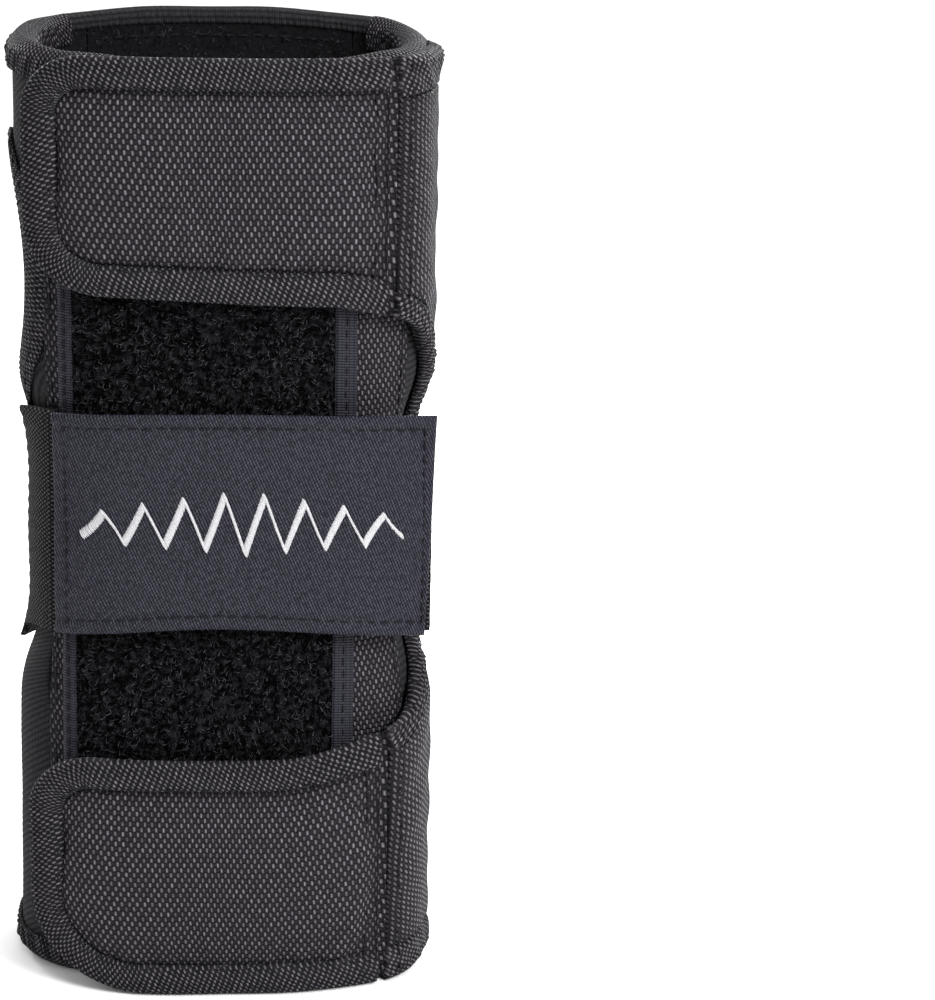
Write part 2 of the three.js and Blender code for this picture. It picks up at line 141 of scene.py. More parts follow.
def on_sleeve(u, z, out):
    """Points at height z and girth u from the middle of the back of the hand, that far out of the sleeve."""
    u, z, out = (np.asarray(v, float) for v in (u, z, out))
    u, z, out = np.broadcast_arrays(u, z, out)
    f = ((u / girth(z)) % 1) * TURNS
    i = np.minimum(f.astype(int), TURNS - 1)
    fi = f - i
    level = np.clip(z - LEVELS[0], 0, len(LEVELS) - 1.001)
    k = level.astype(int)
    up = level - k

    def read(table):
        low = table[k, i] * (1 - fi) + table[k, i + 1] * fi
        high = table[k + 1, i] * (1 - fi) + table[k + 1, i + 1] * fi
        return low * (1 - up) + high * up

    x, y = read(TABLE_X), read(TABLE_Y)
    nx, ny = facing(x, y, z)
    return np.stack([x + nx * out, y + ny * out, z], -1)


def mid(z):
    """Girth of the middle of the palm."""
    return girth(z) / 2


def rim(u):
    """Height of the finger end's edge."""
    return RIM_TOP - (RIM_DROP / 2) * (1 + np.cos(2 * np.pi * u / girth(200)))


def on_strap(u, z, out):
    """As on_sleeve, with the straps' inner edges swept towards the wing's cut."""
    u, z = np.asarray(u, float), np.asarray(z, float)
    down = (2.0 * ease(-25, 32, u) + 6.0 * ease(20, 47, u)) * np.exp(-(((z - 154) / 16) ** 2))
    up = 6.0 * ease(12, 42, u) * np.exp(-(((z - 54) / 17) ** 2))
    return on_sleeve(u, z - down + up, out)


# ---- Small tools ----

EDGE_WEAR_AND_SHADE = 1.2  # how far a piece's edge mark reaches in: worn scuffs, and painted shade on nylon
SIM_SCALE, FRAMES = 0.01, 20  # the cloth simulation's metres per millimetre, and its length

rng = np.random.default_rng(11)
PHASES = rng.uniform(0, 2 * np.pi, (40, 3))
WAVES = rng.normal(0, 1, (40, 3))
WAVES /= np.linalg.norm(WAVES, axis=1)[:, None]


def ripple(p, size, seed):
    """Smooth unevenness between about -1 and 1, at a scale of size millimetres."""
    total = 0
    for n in range(7):
        w = WAVES[(seed * 5 + n) % 40]
        total = total + np.sin((p @ w) * (2 * np.pi / size) * (0.7 + 0.11 * n) + PHASES[(seed * 3 + n) % 40, 0])
    return total / 3.2


def fine(lo, hi, step, edge=1.6):
    """Places from lo to hi, closer together towards both ends."""
    near = np.array([0, 0.08, 0.22, 0.45, 0.8, 1.2]) * (edge / 1.6)
    inner = np.linspace(lo + edge, hi - edge, max(2, int(math.ceil((hi - lo - 2 * edge) / step)) + 1))
    return np.concatenate([lo + near, inner, (hi - near)[::-1]])


def distances(path):
    """How far along a path each of its points is."""
    return np.concatenate([[0], np.cumsum(np.linalg.norm(np.diff(path, axis=0), axis=1))])


def quads(rows, cols, wrap_rows=False, wrap_cols=False):
    """Corners of the cells of a grid of points, and each cell's row and column."""
    last_row, last_col = rows - 1 + wrap_rows, cols - 1 + wrap_cols
    j, i = (v.ravel() for v in np.meshgrid(np.arange(last_row), np.arange(last_col), indexing="ij"))
    jn, in_ = (j + 1) % rows, (i + 1) % cols
    corners = np.stack([j * cols + i, j * cols + in_, jn * cols + in_, jn * cols + i], 1)
    return corners, j, i


def new_object(name, verts, faces, uv=None, closed=True, **attributes):
    """A mesh from vertices in millimetres, with one uv pair per face corner.
    A name that a CAD node has gets an ending."""
    name = name + "_made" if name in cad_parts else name
    verts = (np.asarray(verts, float).reshape(-1, 3) + SHIFT) * MM
    faces = np.asarray(faces, int)
    if closed:
        a, b, c = verts[faces[:, 0]], verts[faces[:, 1]], verts[faces[:, 2]]
        d = verts[faces[:, 3]] if faces.shape[1] == 4 else c
        centre = verts.mean(0)
        volume = (np.einsum("ij,ij->i", a - centre, np.cross(b - centre, c - centre))).sum()
        volume += (np.einsum("ij,ij->i", a - centre, np.cross(c - centre, d - centre))).sum()
        if volume < 0:
            faces = faces[:, ::-1]
            uv = None if uv is None else uv.reshape(len(faces), -1, 2)[:, ::-1].reshape(-1, 2)
    me = bpy.data.meshes.new(name)
    n, m = faces.shape
    me.vertices.add(len(verts))
    me.vertices.foreach_set("co", verts.ravel())
    me.loops.add(n * m)
    me.loops.foreach_set("vertex_index", faces.ravel().astype(np.int32))
    me.polygons.add(n)
    me.polygons.foreach_set("loop_start", np.arange(0, n * m, m, dtype=np.int32))
    me.polygons.foreach_set("use_smooth", np.ones(n, bool))
    me.update(calc_edges=True)
    if uv is not None:
        layer = me.uv_layers.new(name="cloth")
        layer.data.foreach_set("uv", np.asarray(uv, np.float32).ravel())
    for key, values in attributes.items():
        data = me.attributes.new(key, "FLOAT", "POINT").data
        data.foreach_set("value", np.asarray(values, np.float32).ravel())
    me.validate()
    ob = bpy.data.objects.new(name, me)
    scene.collection.objects.link(ob)
    return ob


def finish_piece(ob, name, look, body):
    """Gives a piece its look and its body, and hides the CAD part of its name, if there is one."""
    ob.data.materials.append(LOOKS[look])
    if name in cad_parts:
        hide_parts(name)
    if body:
        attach(ob, body)
    return ob


def span(P):
    """Distances from each point to the first and last column, and to the first and last row."""
    across = np.linalg.norm(np.diff(P, axis=1), axis=2)
    along = np.linalg.norm(np.diff(P, axis=0), axis=2)
    c = np.concatenate([np.zeros((P.shape[0], 1)), np.cumsum(across, 1)], 1)
    r = np.concatenate([np.zeros((1, P.shape[1])), np.cumsum(along, 0)], 0)
    return c, c[:, -1:] - c, r, r[-1:] - r


def skin(name, U, Z, inner, outer, look, body, place=on_sleeve, mask=None, rounding=0.7, sides="lrbt", uv=None):
    """A closed layer between two faces over a grid of places, with its edges rounded. mask leaves cells out."""
    inner = np.broadcast_to(np.asarray(inner, float), U.shape)
    outer = np.broadcast_to(np.asarray(outer, float), U.shape)
    near = np.full(U.shape, 99.0)
    for key, d in zip("lrbt", span(place(U, Z, outer))):
        if key in sides:
            near = np.minimum(near, d)
    rows, cols = U.shape
    keep = np.ones((rows - 1, cols - 1), bool) if mask is None else mask
    inside = np.pad(keep, 1)
    loose = ~(inside[:-1, :-1] & inside[1:, :-1] & inside[:-1, 1:] & inside[1:, 1:])
    loose[0], loose[-1], loose[:, 0], loose[:, -1] = False, False, False, False
    near = np.where(loose, 0, near)
    t = np.clip(near / max(rounding, 1e-3), 0, 1)
    k = 0.12 + 0.88 * np.sqrt(1 - (1 - t) ** 2)
    middle, half = (inner + outer) / 2, (outer - inner) / 2
    P = np.concatenate([place(U, Z, middle + side * half * k).reshape(-1, 3) for side in (1, -1)])
    n = rows * cols
    j, i = np.nonzero(keep)
    a, b, c, d = j * cols + i, j * cols + i + 1, (j + 1) * cols + i + 1, (j + 1) * cols + i
    faces = [np.stack([a, b, c, d], 1), np.stack([a + n, d + n, c + n, b + n], 1)]
    for dj, di, p, q in ((-1, 0, a, b), (1, 0, c, d), (0, 1, b, c), (0, -1, d, a)):
        free = ~inside[j + 1 + dj, i + 1 + di]
        faces.append(np.stack([q[free], p[free], p[free] + n, q[free] + n], 1))
    faces = np.concatenate(faces)
    used, remap = np.unique(faces, return_inverse=True)
    faces = remap.reshape(faces.shape)
    pair = np.stack(uv or (U, Z), -1).reshape(-1, 2)
    pair = np.concatenate([pair, pair])[used]
    # edge carries the scuffs that worn() paints and, on nylon, the painted shade along seams.
    edge = np.concatenate([np.exp(-near.ravel() / EDGE_WEAR_AND_SHADE)] * 2)[used]
    ob = new_object(name, P[used], faces, pair[faces.ravel()], edge=edge)
    return finish_piece(ob, name, look, body)


def sweep(name, P, look, body, around=False):
    """A tube through rows of points. Its columns close on themselves. around closes its rows too."""
    rows, cols = P.shape[:2]
    faces, j, i = quads(rows, cols, around, True)
    v = distances(np.concatenate([P[0], P[0, :1]]))
    s = distances(np.concatenate([P[:, 0], P[:1, 0]]))
    corner = np.stack([np.stack([s[j + dj], v[i + di]], 1) for dj, di in ((0, 0), (0, 1), (1, 1), (1, 0))], 1)
    verts = P.reshape(-1, 3)
    if around:
        ob = new_object(name, verts, faces, corner.reshape(-1, 2), edge=np.zeros(len(verts)))
        return finish_piece(ob, name, look, body)
    k = np.arange(cols)
    nearer, further = (k + 1) % cols, k
    start, end = np.full(cols, len(verts)), np.full(cols, len(verts) + 1)
    last = (rows - 1) * cols
    first_cap, last_cap = [start, nearer, further], [last + further, last + nearer, end]
    caps = np.concatenate([np.stack(cap, 1) for cap in (first_cap, last_cap)])
    verts = np.concatenate([verts, P[:1].mean(1), P[-1:].mean(1)])
    tris = np.concatenate([faces[:, [0, 1, 2]], faces[:, [0, 2, 3]], caps])
    uv = np.concatenate([corner[:, [0, 1, 2]], corner[:, [0, 2, 3]], np.zeros((len(caps), 3, 2))])
    ob = new_object(name, verts, tris, uv.reshape(-1, 2), edge=np.zeros(len(verts)))
    return finish_piece(ob, name, look, body)


def follow(path, s):
    """Points at the distances s along a path."""
    return np.stack([np.interp(s, distances(path), path[:, k]) for k in range(3)], -1)


def stitches(
    name,
    paths,
    body,
    look="thread",
    slot="binding_tape",
    pitch=3.2,
    length=2.5,
    radius=0.26,
    lift=0.22,
    uneven=0.12,
):
    """Rows of thread stitches. Each path is the points of a line and the directions out of the cloth."""
    verts, faces, uvs = [], [], []
    rings, sides = 7, 6
    local = np.random.default_rng(5)
    x = np.linspace(-1, 1, rings)
    turn = np.linspace(0, 2 * np.pi, sides, endpoint=False)
    pattern, rr, ss = quads(rings, sides, wrap_cols=True)
    corner = np.repeat(np.stack([rr * 0.5, ss * 0.3], -1)[:, None], 4, 1)
    corner = corner + np.array([[0, 0], [0, 0.3], [0.5, 0.3], [0.5, 0]])
    for path, normal in paths:
        along = distances(path)
        for m in np.arange(pitch / 2, along[-1] - pitch / 4, pitch):
            m = m + local.normal(0, uneven * 0.4)
            at = m + x * length / 2
            centre = follow(path, at)
            t = follow(path, at + 0.2) - follow(path, at - 0.2)
            t /= np.maximum(np.linalg.norm(t, axis=1), 1e-9)[:, None]
            n = np.stack([np.interp(at, along, normal[:, k]) for k in range(3)], -1)
            n /= np.linalg.norm(n, axis=1)[:, None]
            b = np.cross(t, n)
            r = radius * np.sqrt(np.clip(1 - x**4, 0.02, 1))
            centre = centre + n * (lift * (1 - x[:, None] ** 2) - 0.12) + b * local.normal(0, uneven * 0.5)
            round_it = np.cos(turn)[None, :, None] * b[:, None] + 0.8 * np.sin(turn)[None, :, None] * n[:, None]
            faces.append(pattern + len(verts) * rings * sides)
            verts.append((centre[:, None] + r[:, None, None] * round_it).reshape(-1, 3))
            uvs.append(corner + [m, 0])
    verts, uvs = np.concatenate(verts), np.concatenate(uvs).reshape(-1, 2)
    ob = new_object(name, verts, np.concatenate(faces), uvs, edge=np.zeros(len(verts)))
    return finish_piece(ob, name, look, body)


def line_on(us, zs, out, place=on_sleeve):
    """A line on the cloth for stitches, with its directions out of it."""
    p = place(us, zs, out)
    q = place(us, zs, np.asarray(out) + 1.0)
    return p, q - p


def outline(u0, u1, z0, z1, r):
    """A closed rounded rectangle of girths and heights."""
    pts = []
    for cu, cz, a in ((u1 - r, z1 - r, 0), (u0 + r, z1 - r, 90), (u0 + r, z0 + r, 180), (u1 - r, z0 + r, 270)):
        for k in range(5):
            t = math.radians(a + k * 22.5)
            pts.append((cu + r * math.cos(t), cz + r * math.sin(t)))
    pts = np.array(pts + pts[:1])
    length = distances(pts)
    s = np.arange(0, length[-1])
    return np.interp(s, length, pts[:, 0]), np.interp(s, length, pts[:, 1])


def fibres(name, U, Z, out, body, look, height, reach, width, seed, curl=1.0, place=on_sleeve, end=0.0):
    """Short bent fibres on the cloth at the given places. end is how high their far ends stay."""
    local = np.random.default_rng(seed)
    n, steps = len(U), 5
    turn = local.uniform(0, 2 * np.pi, n)[:, None]
    size = local.uniform(0.6, 1.3, n)[:, None]
    tall = local.uniform(0.5, 1.15, n)[:, None] * height
    x = np.linspace(0, 1, steps)
    bendy = local.normal(0, 0.35, n)[:, None] * curl
    path_u = U[:, None] + np.cos(turn) * reach * size * x + np.sin(turn) * bendy * np.sin(np.pi * x)
    path_z = Z[:, None] + np.sin(turn) * reach * size * x - np.cos(turn) * bendy * np.sin(np.pi * x)
    path_o = out + tall * (np.sin(np.pi * x) * (1 - end) + end * x)
    side_u, side_z = -np.sin(turn) * width / 2, np.cos(turn) * width / 2
    P = np.stack([place(path_u + side * side_u, path_z + side * side_z, path_o) for side in (1, -1)], 2)
    k = np.arange(steps - 1)
    pattern = np.stack([2 * k, 2 * k + 1, 2 * k + 3, 2 * k + 2], 1)
    faces = (pattern[None] + (np.arange(n) * steps * 2)[:, None, None]).reshape(-1, 4)
    # A random tone per fibre; pile_look turns its few high values into painted glints.
    tone = np.repeat(local.uniform(0, 1, n) ** 5, steps * 2)
    ob = new_object(name, P, faces, closed=False, tone=tone)
    return finish_piece(ob, name, look, body)


def puff(U, Z, pressure, growth, cap):
    """How a panel sewn down round its edges swells and puckers, by cloth simulation on the flat panel.
    Returns moves along girth, along height and outwards."""
    x, z = U * SIM_SCALE, Z * SIM_SCALE
    verts = np.stack([x, np.zeros_like(x), z], -1).reshape(-1, 3)
    me = bpy.data.meshes.new("panel")
    me.from_pydata(verts.tolist(), [], quads(*U.shape)[0].tolist())
    ob = bpy.data.objects.new("panel", me)
    scene.collection.objects.link(ob)
    pins = np.ones(U.shape, bool)
    pins[1:-1, 1:-1] = False
    group = ob.vertex_groups.new(name="sewn")
    group.add(np.nonzero(pins.ravel())[0].tolist(), 1.0, "REPLACE")
    cloth = ob.modifiers.new("Cloth", "CLOTH")
    c = cloth.settings
    c.quality = 6
    c.mass = 0.15
    c.tension_stiffness = c.compression_stiffness = 12
    c.shear_stiffness = 4
    c.bending_stiffness = 0.02
    c.air_damping = 2
    c.vertex_group_mass = "sewn"
    c.use_pressure = True
    c.uniform_pressure_force = pressure
    c.shrink_min = -growth
    c.effector_weights.gravity = 0
    cloth.collision_settings.use_collision = False
    cloth.point_cache.frame_start, cloth.point_cache.frame_end = 1, FRAMES
    for f in range(1, FRAMES + 1):
        scene.frame_set(f)
    shape = ob.evaluated_get(bpy.context.evaluated_depsgraph_get()).data
    co = np.empty(len(verts) * 3)
    shape.vertices.foreach_get("co", co)
    co = co.reshape(*U.shape, 3) / SIM_SCALE
    scene.frame_set(1)
    bpy.data.objects.remove(ob)
    bpy.data.meshes.remove(me)
    rise = -co[..., 1]
    if rise.mean() < 0:
        rise = -rise
    rise = cap * np.tanh(rise / cap)
    return np.clip(co[..., 0] - U, -1, 1), np.clip(co[..., 2] - Z, -1, 1), rise


# ---- Materials ----


class Paint:
    """A node material, written as sums of sockets and numbers."""

    def __init__(self, name, rough=0.8, **sockets):
        self.mat = bpy.data.materials.new(name)
        self.mat.use_nodes = True
        self.nt = self.mat.node_tree
        self.bsdf = self.nt.nodes["Principled BSDF"]
        self.bsdf.inputs["Roughness"].default_value = rough
        for key, value in sockets.items():
            self.bsdf.inputs[key.replace("_", " ")].default_value = value
        uv = self.node("UVMap", uv_map="cloth")
        split = self.node("SeparateXYZ")
        self.put(split.inputs[0], uv.outputs[0])
        self.uv, self.u, self.v = uv.outputs[0], split.outputs[0], split.outputs[1]
        self.place = self.node("TexCoord").outputs["Object"]

    def node(self, kind, inputs=(), **settings):
        """A new node. inputs holds its sockets by name, with the numbers or sockets to put there."""
        node = self.nt.nodes.new("ShaderNode" + kind)
        for key, value in settings.items():
            setattr(node, key, value)
        for key, value in dict(inputs).items():
            self.put(node.inputs[key], value)
        return node

    def put(self, socket, value):
        if hasattr(value, "is_output"):
            self.nt.links.new(value, socket)
        else:
            socket.default_value = value

    def op(self, kind, *args):
        return self.node("Math", enumerate(args), operation=kind).outputs[0]

    def add(self, a, b):
        return self.op("ADD", a, b)

    def sub(self, a, b):
        return self.op("SUBTRACT", a, b)

    def mul(self, a, b):
        return self.op("MULTIPLY", a, b)

    def high(self, a, b):
        return self.op("MAXIMUM", a, b)

    def wave(self, v, pitch):
        """0 to 1 to 0 over each pitch."""
        return self.op("ABSOLUTE", self.op("SINE", self.mul(v, math.pi / pitch)))

    def ramp(self, v, lo, hi):
        inputs = {"Value": v, "From Min": lo, "From Max": hi}
        return self.node("MapRange", inputs, interpolation_type="SMOOTHSTEP").outputs["Result"]

    def noise(self, scale, detail, vector=None, rough=0.5):
        inputs = {"Scale": scale, "Detail": detail, "Roughness": rough, "Vector": vector or self.place}
        return self.node("TexNoise", inputs).outputs["Fac"]

    def cells(self, scale, vector=None):
        return self.node("TexVoronoi", {"Scale": scale, "Vector": vector or self.place}).outputs["Distance"]

    def stretch(self, su, sv):
        """The cloth's own coordinates, scaled each way."""
        return self.node("VectorMath", {0: self.uv, 1: (su, sv, 1)}, operation="MULTIPLY").outputs[0]

    def blend(self, factor, a, b):
        node = self.node("Mix", data_type="RGBA")
        self.put(node.inputs["Factor"], factor)
        for name, value in (("A", a), ("B", b)):
            socket = [s for s in node.inputs if s.name == name and s.type == "RGBA"][0]
            self.put(socket, (*value, 1) if isinstance(value, tuple) else value)
        return [s for s in node.outputs if s.type == "RGBA"][0]

    def mottle(self, scale, detail, a, b, **more):
        """Two colours mixed by noise."""
        return self.blend(self.noise(scale, detail, **more), a, b)

    def threads(self, scale, a, b):
        """Two colours that change from thread to thread."""
        return self.blend(self.ramp(self.noise(scale, 2), 0.3, 0.7), a, b)

    def edge(self, name="edge"):
        return self.node("Attribute", attribute_name=name).outputs["Fac"]

    def worn(self, scale, share, cloth, bare, low=0.4, high=0.7, detail=3):
        """Scuffs along the edges."""
        patches = self.mul(self.edge(), self.ramp(self.noise(scale, detail), low, high))
        return self.blend(self.mul(patches, share), cloth, bare)

    def colour(self, value):
        self.put(self.bsdf.inputs["Base Color"], value)

    def rough(self, low, high, factor):
        self.put(self.bsdf.inputs["Roughness"], self.add(low, self.mul(factor, high - low)))

    def bump(self, height, distance, strength=1.0):
        node = self.node("Bump", {"Strength": strength, "Distance": distance, "Height": height})
        normal = self.bsdf.inputs["Normal"]
        if normal.is_linked:
            self.put(node.inputs["Normal"], normal.links[0].from_socket)
        self.put(normal, node.outputs[0])


def weave(m, pu, pv, u, v, slim):
    """Plain weave: how high the threads along v and those across it stand. slim narrows the first."""
    column = m.op("FLOOR", m.mul(u, 1 / pu))
    over = m.op("SINE", m.add(m.mul(v, math.pi / pv), m.mul(column, math.pi)))
    warp = m.mul(m.op("POWER", m.wave(u, pu), slim), m.ramp(over, -0.25, 0.7))
    weft = m.mul(m.wave(v, pv), m.ramp(over, 0.35, -0.6))
    return warp, weft


def nylon_look():
    m = Paint("ballistic_nylon", 0.55, Specular_IOR_Level=0.06)
    drift = m.mul(m.noise(28, 2), 1.6)
    column = m.add(m.add(m.u, m.mul(m.v, 0.083)), drift)
    warp, weft = weave(m, 0.70, 1.12, column, m.add(m.v, m.mul(m.noise(33, 2), 1.2)), 1.3)
    strand = m.noise(1.0, 2, m.stretch(1.4, 0.5))
    # Painted light on one dark thread: painted shade in the weave's gaps, painted highlights on the raised warp
    # threads, and half-lit weft threads between them.
    painted_gap_shade = m.mottle(35, 3, (0.0030, 0.0027, 0.0032), (0.0060, 0.0054, 0.0063))
    painted_thread_highlight = m.blend(m.ramp(strand, 0.25, 0.75), (0.052, 0.047, 0.055), (0.170, 0.155, 0.178))
    side = m.blend(m.mul(weft, 0.8), painted_gap_shade, (0.015, 0.0135, 0.016))
    # Near a piece's edges, along its seams and bindings, the nylon fades to painted shade.
    m.colour(m.blend(m.mul(m.edge(), 0.92), m.blend(warp, side, painted_thread_highlight), (0.0035, 0.0032, 0.0038)))
    m.rough(0.72, 0.40, warp)
    m.bump(m.high(warp, m.mul(weft, 0.7)), 0.00042)
    return m.mat


def tape_look():
    m = Paint("binding_tape", 0.6, Specular_IOR_Level=0.06)
    column = m.add(m.add(m.u, m.mul(m.v, 0.45)), m.mul(m.noise(40, 2), 0.9))
    warp, weft = weave(m, 0.66, 0.80, column, m.sub(m.v, m.mul(m.u, 0.12)), 1.3)
    # Painted light on one dark tape: the base in the weave's gaps is painted shade, and the thread colour on
    # the raised warp threads is painted highlight.
    base = m.mottle(70, 3, (0.0040, 0.0037, 0.0043), (0.0080, 0.0075, 0.0086))
    cloth = m.blend(warp, base, m.threads(1300, (0.050, 0.046, 0.053), (0.150, 0.138, 0.155)))
    m.colour(m.worn(190, 0.25, cloth, (0.08, 0.077, 0.083), high=0.75))
    m.rough(0.75, 0.45, warp)
    m.bump(m.high(warp, m.mul(weft, 0.8)), 0.00028)
    return m.mat


def knit_look():
    m = Paint("ribbed_knit", 0.88, Sheen_Weight=0.02, Specular_IOR_Level=0.04)
    rib = m.wave(m.v, 1.5)
    loop = m.wave(m.u, 0.58)
    # Painted light on the ribs: the base in the valleys is painted shade, and the lighter thread colour on the
    # rib and loop tops is painted highlight.
    base = m.mottle(55, 4, (0.0050, 0.0047, 0.0054), (0.0085, 0.0081, 0.0092))
    thread = m.threads(1400, (0.015, 0.0142, 0.016), (0.029, 0.0273, 0.031))
    m.colour(m.blend(m.mul(rib, m.add(0.45, m.mul(loop, 0.55))), base, thread))
    m.rough(0.95, 0.78, rib)
    m.bump(m.add(m.mul(rib, 0.6), m.mul(loop, 0.4)), 0.00022)
    return m.mat


def lining_look():
    m = Paint("brushed_lining", 0.95, Sheen_Weight=0.04, Specular_IOR_Level=0.03)
    fuzz, patch = m.noise(900, 5, rough=0.7), m.noise(80, 3)
    tone = m.add(m.mul(fuzz, 0.6), m.mul(patch, 0.4))
    m.colour(m.blend(tone, (0.002, 0.002, 0.0024), (0.010, 0.0098, 0.0112)))
    m.rough(0.98, 0.85, patch)
    m.bump(m.add(fuzz, m.mul(patch, 0.5)), 0.0004)
    return m.mat


def foam_look():
    m = Paint("foam", 0.92, Specular_IOR_Level=0.1)
    pores = m.cells(1500)
    # Painted shade in the pores: darker towards each cell's middle, where the bump sinks.
    m.colour(m.blend(pores, (0.010, 0.010, 0.011), (0.030, 0.030, 0.033)))
    m.rough(0.97, 0.85, m.noise(90, 3))
    m.bump(m.ramp(pores, 0.0, 0.5), 0.0002)
    return m.mat


def leather_look():
    m = Paint("synthetic_leather", 0.26, Specular_IOR_Level=0.30, Coat_Weight=0.02, Coat_Roughness=0.12)
    wide = m.noise(45, 3, rough=0.6)
    pebble = m.ramp(m.cells(1.0, m.stretch(1.7, 2.3)), 0.05, 0.75)
    fold = m.noise(1.0, 2, m.stretch(0.35, 0.6))
    low = m.blend(wide, (0.0058, 0.0070, 0.0100), (0.0096, 0.0114, 0.0158))
    # Painted shade in the grain: the pebbles' borders, which the bump sinks into grooves, take a near-black
    # colour.
    tone = m.blend(pebble, low, (0.0014, 0.0016, 0.0022))
    m.colour(m.worn(130, 0.3, tone, (0.05, 0.055, 0.065), low=0.35, detail=4))
    m.rough(0.19, 0.30, m.add(m.mul(m.noise(240, 3), 0.5), m.mul(wide, 0.5)))
    m.bump(m.sub(1.0, pebble), 0.00019)
    m.bump(fold, 0.0002, 0.5)
    return m.mat


def plastic_look():
    m = Paint("splint_plastic", 0.3, Specular_IOR_Level=0.23)
    cloud = m.noise(38, 4, rough=0.6)
    marks = m.noise(1.0, 5, m.stretch(0.9, 0.06), rough=0.6)
    base = m.blend(cloud, (0.0035, 0.0035, 0.0037), (0.0065, 0.0065, 0.0069))
    m.colour(m.worn(210, 0.4, base, (0.075, 0.075, 0.078)))
    m.rough(0.19, 0.29, m.add(m.mul(marks, 0.6), m.mul(cloud, 0.4)))
    m.bump(m.noise(2600, 2), 0.00004)
    m.bump(m.ramp(marks, 0.60, 0.72), 0.00003, 0.4)
    return m.mat


def pile_look(name, low, high, rough=0.9):
    m = Paint(name, rough, Specular_IOR_Level=0.02)
    bed = m.mul(m.ramp(m.noise(700, 3), 0.42, 0.72), 0.22)
    # The fibres are one dark colour; the rare bright ones, from the random tone, are painted glints.
    m.colour(m.blend(m.add(bed, m.mul(m.edge("tone"), 0.85)), low, high))
    m.rough(rough, rough - 0.25, m.noise(320, 2))
    m.bump(m.noise(2400, 3), 0.00012)
    return m.mat


def elastic_look():
    m = Paint("elastic_webbing", 0.82, Specular_IOR_Level=0.04)
    column, row = m.add(m.u, m.mul(m.noise(30, 2), 0.5)), m.add(m.v, m.mul(m.noise(22, 2), 0.8))
    warp, weft = weave(m, 0.89, 0.46, column, row, 1.2)
    # Painted light on one charcoal elastic: the base in the gaps is painted shade, and the lighter colour on
    # the raised warp threads is painted highlight.
    base = m.mottle(45, 3, (0.0030, 0.0030, 0.0033), (0.0050, 0.0050, 0.0055))
    m.colour(m.blend(warp, base, m.threads(1500, (0.026, 0.026, 0.027), (0.070, 0.070, 0.073))))
    m.rough(0.9, 0.6, warp)
    m.bump(m.high(warp, m.mul(weft, 0.6)), 0.00022)
    return m.mat


def twill_look():
    m = Paint("badge_twill", 0.6, Specular_IOR_Level=0.07)
    rib = m.wave(m.add(m.sub(m.u, m.mul(m.v, 0.43)), m.mul(m.noise(120, 2), 0.15)), 0.65)
    thread = m.wave(m.add(m.u, m.mul(m.v, 1.18)), 0.94)
    # Painted light on the twill: the base in the rib valleys is painted shade, and the lighter colour on the
    # rib tops is painted highlight.
    base = m.mottle(22, 3, (0.0026, 0.0026, 0.0042), (0.0042, 0.0042, 0.0064))
    painted_rib_highlight = m.threads(1500, (0.021, 0.021, 0.030), (0.056, 0.056, 0.075))
    m.colour(m.blend(m.mul(m.op("POWER", rib, 1.4), m.add(0.3, m.mul(thread, 0.7))), base, painted_rib_highlight))
    m.rough(0.72, 0.42, rib)
    m.bump(m.add(m.mul(rib, 0.7), m.mul(thread, 0.3)), 0.0002)
    return m.mat


def selvage_look():
    m = Paint("selvage", 0.6, Specular_IOR_Level=0.12)
    rib = m.wave(m.add(m.v, m.mul(m.u, 0.1)), 0.6)
    thread = m.wave(m.u, 0.5)
    # Painted light on the ribs: the base in the valleys is painted shade, and the lighter colour on the rib
    # tops is painted highlight.
    base = m.mottle(70, 3, (0.0025, 0.0025, 0.0038), (0.0050, 0.0050, 0.0072))
    m.colour(m.blend(m.mul(rib, m.add(0.5, m.mul(thread, 0.5))), base, (0.026, 0.026, 0.036)))
    m.rough(0.75, 0.45, rib)
    m.bump(m.add(rib, m.mul(thread, 0.4)), 0.00014)
    return m.mat


def thread_look(name, low, high):
    m = Paint(name, 0.6, Specular_IOR_Level=0.12)
    ply = m.wave(m.add(m.u, m.v), 0.42)
    # Lighter on the ply's ridges, where the bump rises, as painted highlight, and darker in its grooves as
    # painted shade, mixed with random tone.
    m.colour(m.blend(m.add(m.mul(ply, 0.6), m.mul(m.noise(500, 2), 0.4)), low, high))
    m.rough(0.72, 0.5, ply)
    m.bump(ply, 0.0001)
    return m.mat


LOOKS = {
    "nylon": nylon_look(),
    "tape": tape_look(),
    "knit": knit_look(),
    "lining": lining_look(),
    "foam": foam_look(),
    "leather": leather_look(),
    "plastic": plastic_look(),
    # The loop, fuzz and hook pairs run from the pile's own dark colour to painted glints.
    "loop": pile_look("loop_pile", (0.0005, 0.0005, 0.0007), (0.060, 0.059, 0.066)),
    "fuzz": pile_look("lining_fuzz", (0.002, 0.002, 0.0025), (0.050, 0.049, 0.055)),
    "hook": pile_look("hook_tape", (0.006, 0.006, 0.007), (0.10, 0.10, 0.108), 0.6),
    "elastic": elastic_look(),
    "twill": twill_look(),
    "selvage": selvage_look(),
    # The thread pairs run from painted shade in the ply's grooves to painted highlight on its ridges.
    "thread": thread_look("thread", (0.0020, 0.0020, 0.0026), (0.012, 0.012, 0.0145)),
    "pale_thread": thread_look("pale_thread", (0.30, 0.30, 0.31), (0.62, 0.62, 0.64)),
}

# ---- Limits of the pieces ----

